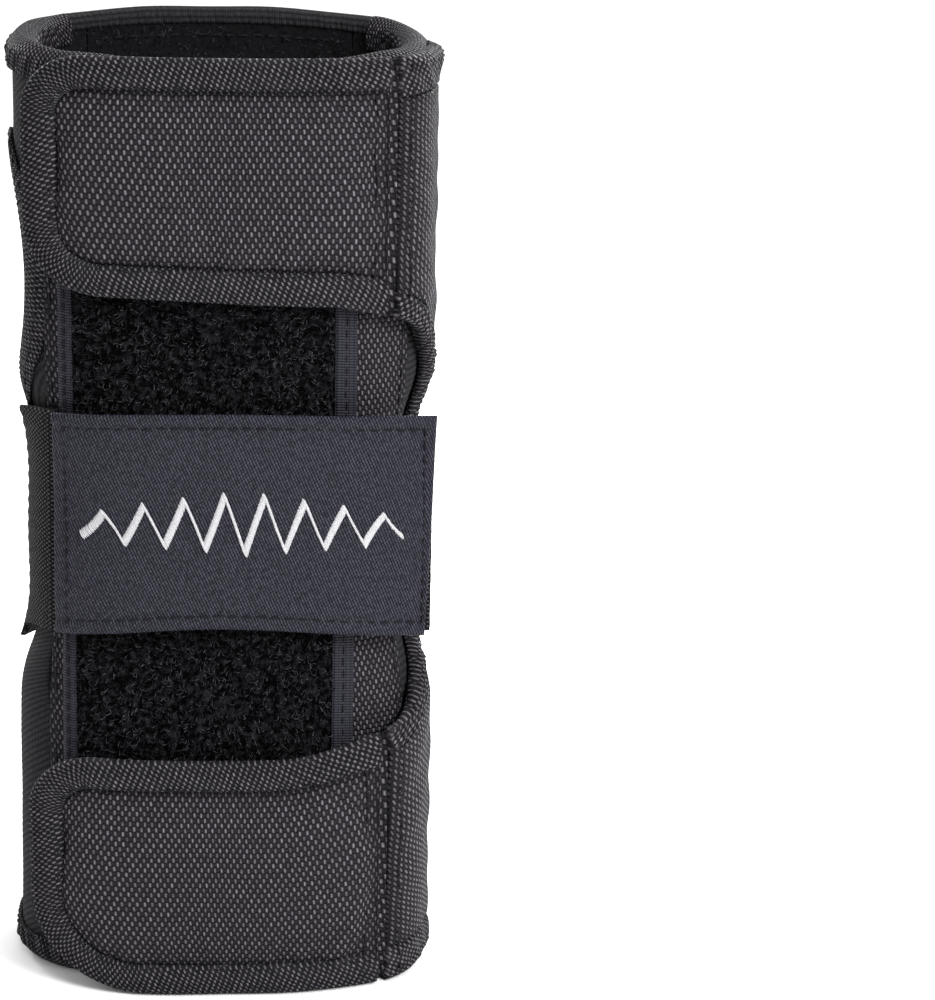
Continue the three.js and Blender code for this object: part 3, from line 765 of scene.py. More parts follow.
GAP = 0.3
HEM, RIB = 2.2, 1.5
DORSAL_HALF, PALM_HALF, LEATHER_HALF, POCKET_HALF, WING_SEAM = 37.0, 31.0, 35.5, 27.0, 57.0
SPLINT = dict(half=19.8, thick=2.8, low=21.0, high=198.0, out=73.0, back=171.0, bow=9.2, hump=2.6)
SLITS = (26.5, 77.2, 166.3)
SLIT_HALF, SLIT = 23.3, 1.6
LEATHER_LOW, LEATHER_SHORT = 3.4, 3.6
LEVEL_END = 172
HOLE = dict(z=155.0, tall=27.0, deep=13.0, band=3.2)
UPPER = dict(end=-37.4, hinge=33.0, low=155.5, high=205.2, r_low=15.0, r_high=12.0, hooks=(163.0, 192.0))
LOWER = dict(end=-38.0, hinge=33.0, low=0.3, high=54.3, r_low=22.0, r_high=13.0, hooks=(13.0, 46.0))
EDGE = 7.0
CUT = dict(z=105.0, tall=50.5, deep=15.0, power=4.2, root=2.2, start=33.8, band=5.0)
WEB_LOW, WEB_HIGH, WEB_INSET = 8.0, 197, CUT["band"] + GAP - 0.5
SLEEVE_BACK = 24.0

# ---- Linings, pads and knitted sides ----


def add_layer(name, u0, u1, inner, outer, look, step=2.2, rows=2.2, hole=False, ribs=0.0, slant=0.0):
    """A layer of the sleeve from hem to rim between two girths, each a function of the height."""
    s = fine(0, u1(100) - u0(100), step) / (u1(100) - u0(100))
    t = fine(0, 209, rows) / 209
    S_, T_ = np.meshgrid(s, t)
    Z = HEM + T_ * 205
    U = u0(Z) + S_ * (u1(Z) - u0(Z))
    Z = HEM + T_ * (rim(U) - 2 * HEM)
    P = on_sleeve(U, Z, 0)
    face = outer + 0.12 * ripple(P, 26, 2)
    if ribs:
        face = face + ribs * np.abs(np.sin(np.pi * (Z - slant * U) / RIB)) - ribs
    mask = None
    if hole:
        away = np.hypot(P[..., 1] / HOLE["deep"], (Z - HOLE["z"]) / HOLE["tall"])
        near = (np.abs(away - 1) < 0.09) & (P[..., 0] < 0)
        scale = np.where(near, 1 / np.maximum(away, 0.3), 1)
        Z = HOLE["z"] + (Z - HOLE["z"]) * scale
        U = U + np.where(near, -P[..., 1] * (scale - 1), 0)
        centre = (away[:-1, :-1] + away[1:, :-1] + away[:-1, 1:] + away[1:, 1:]) / 4
        mask = ~((centre < 1.0) & (P[:-1, :-1, 0] < 0))
    return skin(name, U, Z, inner, face, look, "sleeve", mask=mask, uv=(U, Z - slant * U))


def add_sleeve():
    side = GAP / 2
    parts = {
        "dorsal": (lambda z: side - DORSAL_HALF + 0 * z, lambda z: DORSAL_HALF - side + 0 * z),
        "palm": (lambda z: mid(z) - PALM_HALF + side, lambda z: mid(z) + PALM_HALF - side),
        "little_finger_side": (lambda z: DORSAL_HALF + side + 0 * z, lambda z: mid(z) - PALM_HALF - side),
        "thumb_side": (lambda z: mid(z) + PALM_HALF + side, lambda z: girth(z) - DORSAL_HALF - side),
    }
    beside = {"dorsal": "dorsal_pad", "palm": "palm_pad"}
    for name, (u0, u1) in parts.items():
        hole = name == "thumb_side"
        ob = add_layer("lining_" + name, u0, u1, -4.6, -4.0, "lining", hole=hole)
    for name in beside:
        add_layer(name + "_pad", *parts[name], -3.7, -1.3, "foam")
    for name, slant in (("little_finger_side", 0.0), ("thumb_side", 0.6)):
        hole = name == "thumb_side"
        ribs = dict(ribs=0.16, slant=slant)
        ob = add_layer(name + "_panel", *parts[name], -3.7, 0.1, "knit", 1.1, 0.36, hole, **ribs)
    us = mid(200) + np.linspace(-29.4, 29.4, 200)
    p, n = line_on(us, rim(us) - 6.4, -4.75)
    stitches("lining_rim_stitches", [(p, -n)], "sleeve", pitch=3.0)
    local = np.random.default_rng(8)
    u = local.uniform(-DORSAL_HALF * 0.9, 200, 9000)
    reach = np.where(np.abs(u - mid(200)) < LEATHER_HALF - 1, 29.8, 26.5)
    z = rim(u) - 34 + local.uniform(0, 1, 9000) * reach
    fibres("lining_fuzz", u, z, -4.55, "sleeve", "fuzz", height=-1.1, reach=0.9, width=0.13, seed=4, end=0.7)


def add_thumb_binding():
    """A ribbed tape folded over the edge of the thumb hole."""
    band = HOLE["band"]
    prof = [(band + 0.5 - k * (band + 0.4), 0.75 + 0.25 * math.sin(math.pi * k)) for k in np.linspace(0, 1, 9)]
    for r in np.linspace(0, math.pi, 9)[1:-1]:
        prof.append((-0.1 - 0.9 * math.sin(r), -2.05 + 2.75 * math.cos(r)))
    prof += [(-0.1 + k * band, -4.95 - 0.2 * math.sin(math.pi * k)) for k in np.linspace(0, 1, 5)]
    prof.append((band - 0.2, -4.7))
    prof += [(band - 0.2 - k * (band - 0.6), -4.62 + 0.02 * k) for k in np.linspace(0, 1, 5)]
    prof += [(0.35, -4.0), (0.35, 0.2), (1.5, 0.3), (band + 0.4, 0.3)]
    w, out = np.array(prof).T[:, None]

    def round_hole(t, level, upright, out):
        """Points level and upright from the hole's edge, and the directions out of the sleeve there."""
        y = (HOLE["deep"] + level) * np.cos(t)
        z = HOLE["z"] + (HOLE["tall"] + upright) * np.sin(t)
        x = -half_width(z) * (1 - np.abs(y / half_depth(z)) ** SQUARE) ** (1 / SQUARE)
        nx, ny = facing(x, y, z)
        return np.stack([x + nx * out, y + ny * out, z], -1), np.stack([nx, ny, 0 * nx], -1)

    t = np.linspace(0, 2 * np.pi, 460, endpoint=False)[:, None]
    rib = 0.15 * np.sin(t * 96 + w * 1.6) * (np.abs(out) > 0.7)
    pucker = 0.15 * np.sin(t * 17 + 0.7) * np.exp(-((w - 3.0) ** 2))
    wider = 1 + 0.55 * np.clip(-np.cos(t), 0, 1) ** 0.7 * (w > 0)
    P, _ = round_hole(t, w * wider, w, out + np.where(out > 0.5, rib + pucker, -rib))
    sweep("thumb_hole_binding", P, "tape", "sleeve", around=True)
    ring = round_hole(np.linspace(0, 2 * np.pi, 300), 3.0, 3.0, 1.0)
    stitches("thumb_hole_stitches", [ring], "sleeve", pitch=2.8, length=2.2, radius=0.2)


def add_rim(name, at_top):
    """A tape folded over the rim, from one edge of the leather round the back of the hand to the other."""
    end = girth(211 if at_top else 0) / 2 - LEATHER_HALF - GAP
    us = np.linspace(-end, end, 620)
    leg = 7.0
    prof = [(1.1, leg * k) for k in np.linspace(1, 0.5, 6)]
    for r in np.linspace(0, math.pi, 21):
        prof.append((-2.25 + 3.4 * math.cos(r) * (1 - 0.3 * math.sin(r)), 3.2 - 3.15 * math.sin(r) ** 0.9))
    prof += [(-5.65, leg * k) for k in np.linspace(0.5, 1, 5)]
    prof += [(-4.95, leg), (-4.95, 4.5), (-4.0, 2.2), (-0.5, 2.2), (0.35, 4.5), (0.35, leg)]
    out, down = np.array(prof).T[:, None]
    u = us[:, None]
    ribs = 0.16 * np.sin(u * 4.6 + down * 1.1) * ease(0.5, 1.0, np.abs(out))
    sides = ease(30, 48, np.abs(u))
    bulges = bell(np.sin(u * 0.83 + down * 0.3 + 1.3 * np.sin(u * 0.17)), 0.4)
    folds = (0.12 + 0.38 * sides) * bulges * ease(7, 2, down)
    wave = 0.4 * np.sin(u * 0.19 + 1.0) * ease(0, 3, down)
    o = out + ease(0.6, 1.0, out) * (ribs + folds) - ease(-4.9, -5.3, out) * ribs
    d = down + wave * (down > 5)
    P = on_sleeve(u + 0 * d, rim(u) - d if at_top else d, o)
    if at_top:
        P[..., 2] -= 0.2 * (1 + np.sin(u * 0.31)) * ease(2.5, 0, down)
    sweep(name, P, "tape", "sleeve")
    z = (rim(us) - 5.6) if at_top else 5.6 + 0 * us
    stitches(name + "_stitches", [line_on(us, z, 1.35)], "sleeve", pitch=2.9, length=2.3, radius=0.2)


def add_palm_rim(name, at_top):
    """A knitted tape turned over the palm's rim, tucked under the leather's edge."""
    d = np.linspace(-LEATHER_HALF - 0.5, LEATHER_HALF + 0.5, 320)[:, None]
    prof = [(1.15, 6.5 - 0.8 * k) for k in range(4)]
    for r in np.linspace(0, math.pi, 17):
        prof.append((-2.0 + 3.0 * math.cos(r), 3.0 - 2.5 * math.sin(r) ** 0.9))
    prof += [(-4.95, 3.4), (-4.95, 3.9), (-4.3, 3.8), (-3.9, 3.2), (-0.4, 2.6), (0.1, 4.0), (0.1, 6.5)]
    out, down = np.array(prof).T[:, None]
    u = mid(RIM_TOP if at_top else 2) + d + 0 * down
    down = down + 0.12 * np.sin(d * 0.23 + 1) * ease(4, 1, down)
    out = out + ease(0.6, 1.0, np.abs(out + 2)) * (0.1 * np.sin(d * 4.3 + down) + 0.12 * np.sin(d * 1.1))
    sweep(name, on_sleeve(u, rim(u) - down if at_top else down, out), "knit", "sleeve")


# ---- Back of the hand ----


def add_dorsal():
    U, Z = np.meshgrid(fine(-19, 19, 1.5), fine(30, 185, 3))
    skin("dorsal_stay", U, Z, -1.0, 0.6, "plastic", "sleeve", rounding=0.8)
    U, T = np.meshgrid(fine(-37, 41, 1.0), fine(0, 1, 0.008, 0.01))
    Z = 8.5 + T * (rim(U) - 17)
    face = 1.9 + 0.1 * ripple(on_sleeve(U, Z, 0), 18, 3)
    ob = skin("dorsal_panel", U, Z, 0.9, face, "nylon", "sleeve")
    U, Z = np.meshgrid(fine(-29.8, 23.4, 1.0), fine(12, 193, 1.2))
    face = 2.9 + 0.15 * ripple(on_sleeve(U, Z, 0), 5, 4)
    ob = skin("loop_patch", U, Z, 2.2, face, "loop", "sleeve")
    local = np.random.default_rng(21)
    count = 30000
    u, z = local.uniform(-29.6, 23.2, count), local.uniform(12.3, 192.7, count)
    fibres("loop_patch_pile", u, z, 2.75, "sleeve", "loop", height=1.3, reach=1.2, width=0.13, seed=22)
    for side, a, b in (("thumb_side", -33.2, -30.1), ("little_finger_side", 23.7, 28.3)):
        name = "loop_selvage_" + side
        U, Z = np.meshgrid(fine(a, b, 0.35, 0.8), fine(12, 193, 0.8))
        face = 3.1 + 0.14 * np.sin(U * 5.2) + 0.1 * ripple(on_sleeve(U, Z, 0), 12, 6)
        skin(name, U, Z, 2.2, face, "selvage", "sleeve", rounding=0.5)
        zs = np.linspace(13, 192, 300)
        row = line_on((a + b) / 2 + 0 * zs, zs, 3.25)
        stitches(name + "_stitches", [row], "sleeve", pitch=2.6, length=2.1, radius=0.19)
    us, zs = np.linspace(-36, 40, 160), np.linspace(11, 194, 300)
    rows = [line_on(side + 0 * zs, zs, 1.95) for side in (39.2, -35.4)]
    rows += [line_on(us, z, 1.95) for z in (10.2 + 0 * us, rim(us) - 10.2)]
    stitches("dorsal_panel_stitches", rows, "sleeve")


# ---- Palm ----


def bow(z):
    """How far the splint's inner face stands off the sleeve."""
    share = np.clip((z - SPLINT["out"]) / (SPLINT["back"] - SPLINT["out"]), 0, 1)
    return GAP + SPLINT["bow"] * (1 - np.abs(2 * share - 1) ** SPLINT["hump"])


def leather_rest(d, z):
    """How far the leather's inner face stands off the sleeve at d from the palm's middle."""
    aside = np.abs(d)
    pockets = ease(8, 22, z) * (1 - ease(SLITS[1] - 0.8, SLITS[1] + 0.8, z))
    pockets = pockets + ease(SLITS[2] - 0.8, SLITS[2] + 0.8, z) * (1 - ease(197, 209, z))
    raised = bow(z) + SPLINT["thick"] + GAP
    return GAP + raised * pockets * (1 - ease(SPLINT["half"] - 0.5, SPLINT["half"] + 9, aside))


def leather_face(d, z, top):
    """The leather's outer face with its puffs, puckers and the dips along its seams."""
    aside = np.abs(d)
    rest = leather_rest(d, z) + 1.0
    pockets = ease(SLITS[2], SLITS[2] + 8, z) * ease(top, top - 22, z) * 2.0
    pockets = pockets + ease(SLITS[1], SLITS[1] - 8, z) * ease(LEATHER_LOW, 20, z) * 1.0
    rest = rest + pockets * np.clip(1 - (aside / 31) ** 2, 0, 1)
    frame_in = np.minimum(np.minimum(LEATHER_HALF - aside, z - LEATHER_LOW), top - z)
    for at in (2.3, 6.0):
        along = np.where(LEATHER_HALF - aside < np.minimum(z - LEATHER_LOW, top - z), z, d)
        rest = rest - 0.5 * bell(frame_in - at, 0.5) * (0.75 + 0.25 * np.cos(2 * np.pi * along / 3.4))
    rest = rest + 0.55 * bell(frame_in - 4.1, 1.1) + 0.35 * bell(frame_in - 0.8, 0.8)
    side = ease(SPLINT["half"] + 1, SPLINT["half"] + 6, aside)
    for at, sign in ((SLITS[0], 1), (SLITS[1], -1), (SLITS[2], 1)):
        beyond = sign * (z - at)
        over = np.where(beyond > 0, 1.0, 0.0)
        lip = 1.5 * over * np.exp(-beyond / 5.0) * np.clip(1 - (aside / (SLIT_HALF + 3)) ** 4, 0, 1)
        corner = bell(aside - SLIT_HALF, 4.5) * bell(z - at, 8)
        creases = 0.8 * np.sin(1.15 * (z - at) * sign + 0.75 * (aside - SLIT_HALF)) * corner
        rest = rest + lip + creases + 0.5 * corner
    p = np.stack([d, z, 0 * d], -1)
    rest = rest + 0.28 * ripple(p, 16, 5) * ease(3, 9, frame_in) + 0.10 * ripple(p, 6, 7) * side
    return np.maximum(rest, leather_rest(d, z) + 0.55)


def leather_top(d):
    """Height of the leather's upper edge."""
    return rim(mid(200) + d) - LEATHER_SHORT


def to_rim(z, top, inset=0.0):
    """Heights above LEVEL_END moved so that the straight edge follows the rim."""
    share = (z - LEVEL_END) / (HEIGHT - LEVEL_END - inset)
    return np.where(z > LEVEL_END, LEVEL_END + share * (top - inset - LEVEL_END), z)


def add_palm():
    d = fine(-LEATHER_HALF, LEATHER_HALF, 0.62)
    lows = [LEATHER_LOW] + [at + SLIT / 2 for at in SLITS]
    highs = [at - SLIT / 2 for at in SLITS] + [HEIGHT]
    rows = np.concatenate([fine(lo, hi, 0.7, 1.2) for lo, hi in zip(lows, highs)])
    D, Z = np.meshgrid(d, rows)
    Z = to_rim(Z, leather_top(D))
    outer = leather_face(D, Z, leather_top(D))
    inner = np.minimum(leather_rest(D, Z), outer - 0.5)
    mask = np.ones((len(rows) - 1, len(d) - 1), bool)
    droop = np.zeros_like(Z)
    for at, sign, depth in zip(SLITS, (1, -1, 1), (0.9, 0.7, 1.2)):
        row = int(np.argmin(np.abs((rows[:-1] + rows[1:]) / 2 - at)))
        mask[row] = np.abs((d[:-1] + d[1:]) / 2) > SLIT_HALF
        sag = np.exp(-np.abs(Z - at) / 4) * np.cos(np.clip(D / SLIT_HALF, -1, 1) * 4.2) * bell(D, 22)
        droop += np.where(sign * (Z - at) > 0, -sign * depth * sag, 0)
    name = "palm_leather_panel"
    face = (mid(Z) + D, Z + droop * 0.5, inner, outer)
    ob = skin(name, *face, "leather", "sleeve", mask=mask, rounding=1.1, uv=(D, Z))
    rows = []
    for inset in (2.3, 6.0):
        half = LEATHER_HALF - inset
        du, zz = outline(-half, half, LEATHER_LOW + inset, HEIGHT - inset, r=2.5)
        top = leather_top(du)
        zz = to_rim(zz, top, inset)
        rows.append(line_on(mid(zz) + du, zz, leather_face(du, zz, top) + 0.05))
    stitches("palm_leather_stitches", rows, "sleeve", pitch=3.4, length=2.7, radius=0.27)
    rows = []
    for at in SLITS:
        for sign in (-1, 1):
            zs = np.linspace(at - 4, at + 4, 30)
            ds = np.full(30, sign * (SLIT_HALF + 1.4))
            rows.append(line_on(mid(zs) + ds, zs, leather_face(ds, zs, HEIGHT) + 0.05))
    stitches("slit_end_stitches", rows, "sleeve", pitch=1.6, length=1.3, radius=0.3)
    D, Z = np.meshgrid(fine(-POCKET_HALF, POCKET_HALF, 2.0), fine(8, 204, 3))
    ob = skin("splint_pocket_backing", mid(Z) + D, Z, -1.0, 0, "lining", "sleeve", rounding=0.5)
    half, corner = SPLINT["half"], 6.0
    D, Z = np.meshgrid(fine(-half, half, 0.8, 2.2), fine(SPLINT["low"], SPLINT["high"], 1.2, 2.2))
    end = np.minimum(Z - SPLINT["low"], SPLINT["high"] - Z)
    shrink = np.where(end < corner, corner - np.sqrt(np.maximum(corner**2 - (corner - end) ** 2, 0)), 0)
    narrow = D * (1 - shrink / half) * (1 - 0.075 * ease(0, 9, bow(Z)))
    outer = bow(Z) + SPLINT["thick"] - 0.1 + 0.175 * (np.abs(D) / half) ** 6
    skin("palm_splint", mid(Z) + narrow, Z, bow(Z), outer, "plastic", "sleeve", rounding=1.35, uv=(D, Z))


# ---- Strap tails ----


def tail_limits(tail, u, d):
    """The heights of a tail's lower and upper edge at girth u, less d."""
    def drop(radius):
        r = radius - d
        reach = np.clip(tail["end"] + radius - u, 0, r)
        return r - np.sqrt(np.maximum(r * r - reach * reach, 0))

    return tail["low"] + d + drop(tail["r_low"]), tail["high"] - d - drop(tail["r_high"])


def tail_grid(tail, inset, step):
    """Girths and heights inside a tail's outline, at least inset from it."""
    start = tail["end"] + inset
    arcs = start + 0.3 * np.array([0, 0.5, 1.5, 3, 5, 8, 12, 17, 23])
    cols = np.concatenate([arcs, np.arange(start + 8, tail["hinge"] - 0.9, step), [tail["hinge"] - 0.8]])
    low, high = tail_limits(tail, cols, inset)
    t = fine(0, 1, step / 40, 0.05)
    return np.broadcast_to(cols, (len(t), len(cols))).copy(), low + t[:, None] * (high - low)


def tail_route(tail):
    """Points round a tail's free edge from the hinge, top first, with the way in from each."""
    step = 0.42

    def arc(u, z, r, start):
        n = int(r * math.pi / 2 / step)
        t = start + np.linspace(0, math.pi / 2, n)
        return np.stack([u + r * np.cos(t), z + r * np.sin(t), -np.cos(t), -np.sin(t)], 1)

    def straight(u, z, in_u, in_z):
        return np.stack(np.broadcast_arrays(u, z, in_u, in_z), 1)

    hinge, end, low, high = tail["hinge"] - 0.8, tail["end"], tail["low"], tail["high"]
    r_low, r_high = tail["r_low"], tail["r_high"]
    return np.concatenate(
        [
            straight(np.arange(hinge, end + r_high, -step), high, 0, -1),
            arc(end + r_high, high - r_high, r_high, math.pi / 2),
            straight(end, np.arange(high - r_high, low + r_low, -step), 1, 0),
            arc(end + r_low, low + r_low, r_low, math.pi),
            straight(np.arange(end + r_low, hinge + step / 2, step), low, 0, 1),
        ]
    )


def rolled(distance, wide):
    """A folded tape's roundness, from 0 at its fold to 1 where it lies flat."""
    return np.sqrt(np.clip(1 - (1 - np.clip(distance / wide, 0, 1)) ** 2, 0, 1))


def tape_ridges(w):
    """Ridges along a binding tape, w from its fold."""
    return 0.20 * np.cos(2 * np.pi * (w - 0.55) / 0.95) * ease(4.0, 2.6, w) * ease(0.2, 0.8, w)


def hooks(name, u, z, out, body, height, seed, place=on_sleeve):
    """A field of short stiff hooks over a hook patch, which point towards the loop."""
    u, z = u.ravel(), z.ravel()
    u = u + 0.25 * np.sin(z * 9)
    fibres(name, u, z, out, body, "hook", height, 0.5, 0.22, seed, 0.2, place, end=0.2)


def add_tail(name, tail, seed):
    """A strap's tail in its layers, with its binding, its hook patch and the tape it hinges on."""
    on = dict(body=name, place=on_strap)
    hinge, low, high = tail["hinge"], tail["low"], tail["high"]
    U, Z = tail_grid(tail, EDGE - 0.5, 1.1)
    mu, mz, rise = puff(U, Z, 0.9, 0.035, 2.3)
    left, right, bottom, top = span(np.stack([U, Z, 0 * U], -1))
    sewn = np.minimum(np.minimum(left, bottom), top)
    rise = rise * (1 - 0.6 * ease(5, 0, right))
    groove = 1.6 * np.exp(-((sewn / 0.9) ** 2)) + 0.9 * np.exp(-((right / 1.2) ** 2))
    outer = 8.1 + rise - groove + 0.18 * ripple(on_sleeve(U, Z, 0), 14, seed)
    face = (U + mu * 0.8, Z + mz * 0.8, 7.65, np.maximum(outer, 7.0))
    skin(f"{name}_shell", *face, "nylon", rounding=0.6, uv=(U, Z), **on)
    U, Z = tail_grid(tail, EDGE + GAP, 2.4)
    skin(f"{name}_padding", U, Z, 6.2, 7.4, "foam", rounding=0.6, **on)
    ob = skin(f"{name}_underlay", U, Z, 5.4, 5.9, "lining", rounding=0.3, **on)

    u, z, in_u, in_z = tail_route(tail).T
    w = np.concatenate([[0, 0.1, 0.3, 0.55, 0.85], np.arange(1.15, 6.4, 0.3), [6.5, 6.75, 6.95]])
    W, S_ = np.meshgrid(w, distances(np.stack([u, z], 1)), indexing="ij")
    roll = rolled(W, 1.7)
    fall = 1 - np.clip((W - 5.6) / 1.35, 0, 1) ** 2.2
    crown = 0.45 * np.sin(np.pi * np.clip((W - 1.5) / 5.2, 0, 1))
    pucker = 0.26 * np.sin(S_ * 1.05 + W * 0.7 + 1.6 * np.sin(S_ * 0.17 + seed)) * ease(1.5, 5.8, W)
    slant = 0.35 * np.sin((S_ + 1.2 * W) * 1.7) * np.exp(-(((S_ - 11) / 8.0) ** 2)) * ease(0.5, 2.5, W)
    swell = 1.75 + crown + tape_ridges(W) + pucker + slant + 0.2 * np.sin(S_ * 0.23 + seed)
    face = (u + W * in_u, z + W * in_z, 7.15 - 1.75 * roll, 7.15 + swell * roll * (0.25 + 0.75 * fall))
    skin(f"{name}_binding", *face, "tape", rounding=0.05, uv=(S_, W), **on)
    seam = line_on(u + 6.05 * in_u, z + 6.05 * in_z, 8.75, on_strap)
    stitches(f"{name}_binding_stitches", [seam], name, pitch=2.7, length=2.1, radius=0.2)
    zs = np.linspace(low + 1.5, high - 1.5, 120)
    rows = [line_on(hinge - 3.4 + 0.25 * np.sin(zs * 0.5), zs, 8.35, on_strap)]
    stitches(f"{name}_seam_stitches", rows, name, pitch=2.8, length=2.2, radius=0.23)

    hooks_low, hooks_high = tail["hooks"]
    U, Z = np.meshgrid(fine(-28, 4, 1.5), fine(hooks_low, hooks_high, 1.5))
    skin(f"{name}_hook_patch", U, Z, 4.75, 5.1, "hook", name, rounding=0.2)
    hu, hz = np.meshgrid(np.arange(-27.2, 3.6, 1.0), np.arange(hooks_low + 0.8, hooks_high - 0.5, 0.9))
    hooks(f"{name}_hooks", hu, hz, 4.8, name, -0.75, seed)

    U, Z = np.meshgrid(np.linspace(hinge - 2.4, hinge + 2.4, 15), fine(low + 0.8, high - 0.8, 0.9))
    top_face = 7.5 - 0.9 * bell(U - hinge, 0.6)
    ob = skin(f"{name}_hinge_tape", U, Z, 6.3, top_face, "nylon", None, on_strap, rounding=0.4, sides="bt")
    start, end = ((on_sleeve(hinge + side, 100.0, 7.0) + SHIFT) * MM for side in (1.6, -1.6))
    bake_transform(ob)


# ---- Wing on the little-finger side ----


def web_inner(u):
    """How far the wing's inner face stands off the sleeve."""
    return 5.4 + (0.3 - 5.4) * ease(CUT["start"], 46, u)


def web_outer(u):
    """How far the wing's outer face stands off the sleeve, without its folds."""
    return 8.5 + (3.2 - 8.5) * ease(CUT["start"], 50, u) - 1.9 * ease(WING_SEAM - 6, WING_SEAM, u)


def cut_edge(z, d):
    """Girth of the wing's edge round the cut, moved d away from it."""
    share = np.clip(np.abs(z - CUT["z"]) / (CUT["tall"] + d), 0, 1)
    return CUT["start"] + (CUT["deep"] + d) * (1 - share ** CUT["power"]) ** (1 / CUT["root"])


def web_face(u, z):
    """The outer face of the wing's nylon, with its crown and slanting folds."""
    away = np.minimum(u - cut_edge(z, WEB_INSET), WING_SEAM - u)
    high_fold = np.sin(0.75 * (z + 0.9 * u) + 0.6 * np.sin(z * 0.11)) * bell(z - 170, 26)
    low_fold = np.sin(0.6 * (z - 0.8 * u)) * bell(z - 40, 24)
    lean = 0.16 * (high_fold + low_fold) * ease(0, 3, away)
    crown = 0.8 * (1 - np.exp(-np.maximum(away, 0) / 4))
    return web_outer(u) - 0.5 + crown + lean * 0.8 + 0.2 * ripple(on_sleeve(u, z, 0), 14, 9)


def add_wing():
    """The nylon between the two straps and the sleeve's side, with its bindings."""
    on = dict(body="sleeve", place=on_strap)
    reach = CUT["tall"] + WEB_INSET
    shares = 1 - (1 - np.linspace(0, 1, 90)) ** 2.6
    by_cut = np.concatenate([-shares[::-1], shares[1:]]) * reach + CUT["z"]
    below = fine(WEB_LOW, CUT["z"] - reach, 1.0, 1.2)[:-1]
    above = fine(CUT["z"] + reach, WEB_HIGH, 1.0, 1.2)[1:]
    S_, Z = np.meshgrid(fine(0, 1, 0.035, 0.05), np.concatenate([below, by_cut, above]))
    start = cut_edge(Z, WEB_INSET)
    U = start + S_ * (WING_SEAM - start)
    slanted = (U + 0.5 * Z, Z - 0.3 * U)
    ob = skin("wing_web", U, Z, web_inner(U), web_face(U, Z), "nylon", rounding=0.7, uv=slanted, **on)

    w = np.concatenate([[0, 0.15, 0.4, 0.8], np.arange(1.2, 4.6, 0.35), [4.8, 5.0]])
    angle = np.linspace(-1, 1, 420)
    share = np.sign(angle) * (1 - (1 - np.abs(angle)) ** 2.2)
    W, A = np.meshgrid(w, share, indexing="ij")
    Z = CUT["z"] + A * (CUT["tall"] + W)
    U = cut_edge(Z, W)
    S_ = np.broadcast_to(distances(on_sleeve(U[0], Z[0], 4)), W.shape)
    roll = rolled(W, 1.4)
    fall = 1 - np.clip((W - 3.8) / 1.3, 0, 1) ** 2
    ribs = 0.16 * np.sin(S_ * 3.9 + W * 1.4)
    thick, middle = (web_outer(U) - web_inner(U)) / 2, (web_outer(U) + web_inner(U)) / 2
    swell = thick + 0.35 + ribs + 0.3 * np.sin(S_ * 0.9) * ease(1, 4, W)
    face = (U, Z, middle - thick * roll, middle + swell * roll * (0.35 + 0.65 * fall))
    skin("wing_cut_binding", *face, "tape", rounding=0.05, uv=(S_, W), **on)
    seam_z = CUT["z"] + share[np.abs(share) < 0.9999] * (CUT["tall"] + 4.1)
    seam_u = cut_edge(seam_z, 4.1)
    row = line_on(seam_u, seam_z, web_outer(seam_u) + 0.25, on_strap)
    stitches("wing_cut_stitches", [row], "sleeve", pitch=2.7, length=2.1, radius=0.2)

    bands = {"top": (WEB_HIGH - 0.4, UPPER["high"]), "bottom": (LOWER["low"], WEB_LOW + 0.1)}
    for end, (lo, hi) in bands.items():
        U, Z = np.meshgrid(np.linspace(CUT["start"], WING_SEAM, 130), fine(lo, hi, 0.3, 1.2))
        edge, back = (hi - Z, Z - lo) if end == "top" else (Z - lo, hi - Z)
        roll = rolled(edge, 1.7)
        fall = 1 - np.clip(1 - back / 1.3, 0, 1) ** 2
        slant = 0.22 * np.sin(1.15 * U + 0.9 * Z + 0.8 * np.sin(U * 0.3))
        slant = slant * ease(0.3, 2.5, edge) * ease(0.2, 2, back)
        middle = (web_inner(U) + web_outer(U)) / 2
        half = (web_outer(U) - web_inner(U)) / 2 + 0.3
        nub = (1.1 if end == "top" else 0.4) * bell(U - 53, 2.3) * bell(edge - 2.2, 2.0)
        top_face = middle + (half + tape_ridges(edge) + slant) * roll * (0.3 + 0.7 * fall) + nub
        face = (U, Z, middle - half * roll * 0.9, top_face)
        skin(f"wing_{end}_binding", *face, "tape", rounding=0.3, sides="lr", **on)
    zs = np.linspace(9, 196, 400)
    us = WING_SEAM - 3.0 + 0.2 * np.sin(zs * 0.7)
    row = line_on(us, zs, web_face(us, zs) - 0.05, on_strap)
    stitches("wing_side_stitches", [row], "sleeve", pitch=3.0, length=2.4)
    for label, tail in (("upper", UPPER), ("lower", LOWER)):
        zs = np.linspace(tail["low"] + 1.5, tail["high"] - 1.5, 120)
        row = line_on(tail["hinge"] + 3.2 + 0.25 * np.sin(zs * 0.43), zs, web_outer(36.2) + 0.45, on_strap)
        stitches(f"{label}_hinge_stitches", [row], "sleeve", pitch=2.8, length=2.2, radius=0.23)


# ---- Wrist strap ----

BAND = dict(z=98.5, tilt=9.0, half=23.5, more=1.2, less=2.0, hinge=-33.2, standoff=4.9)


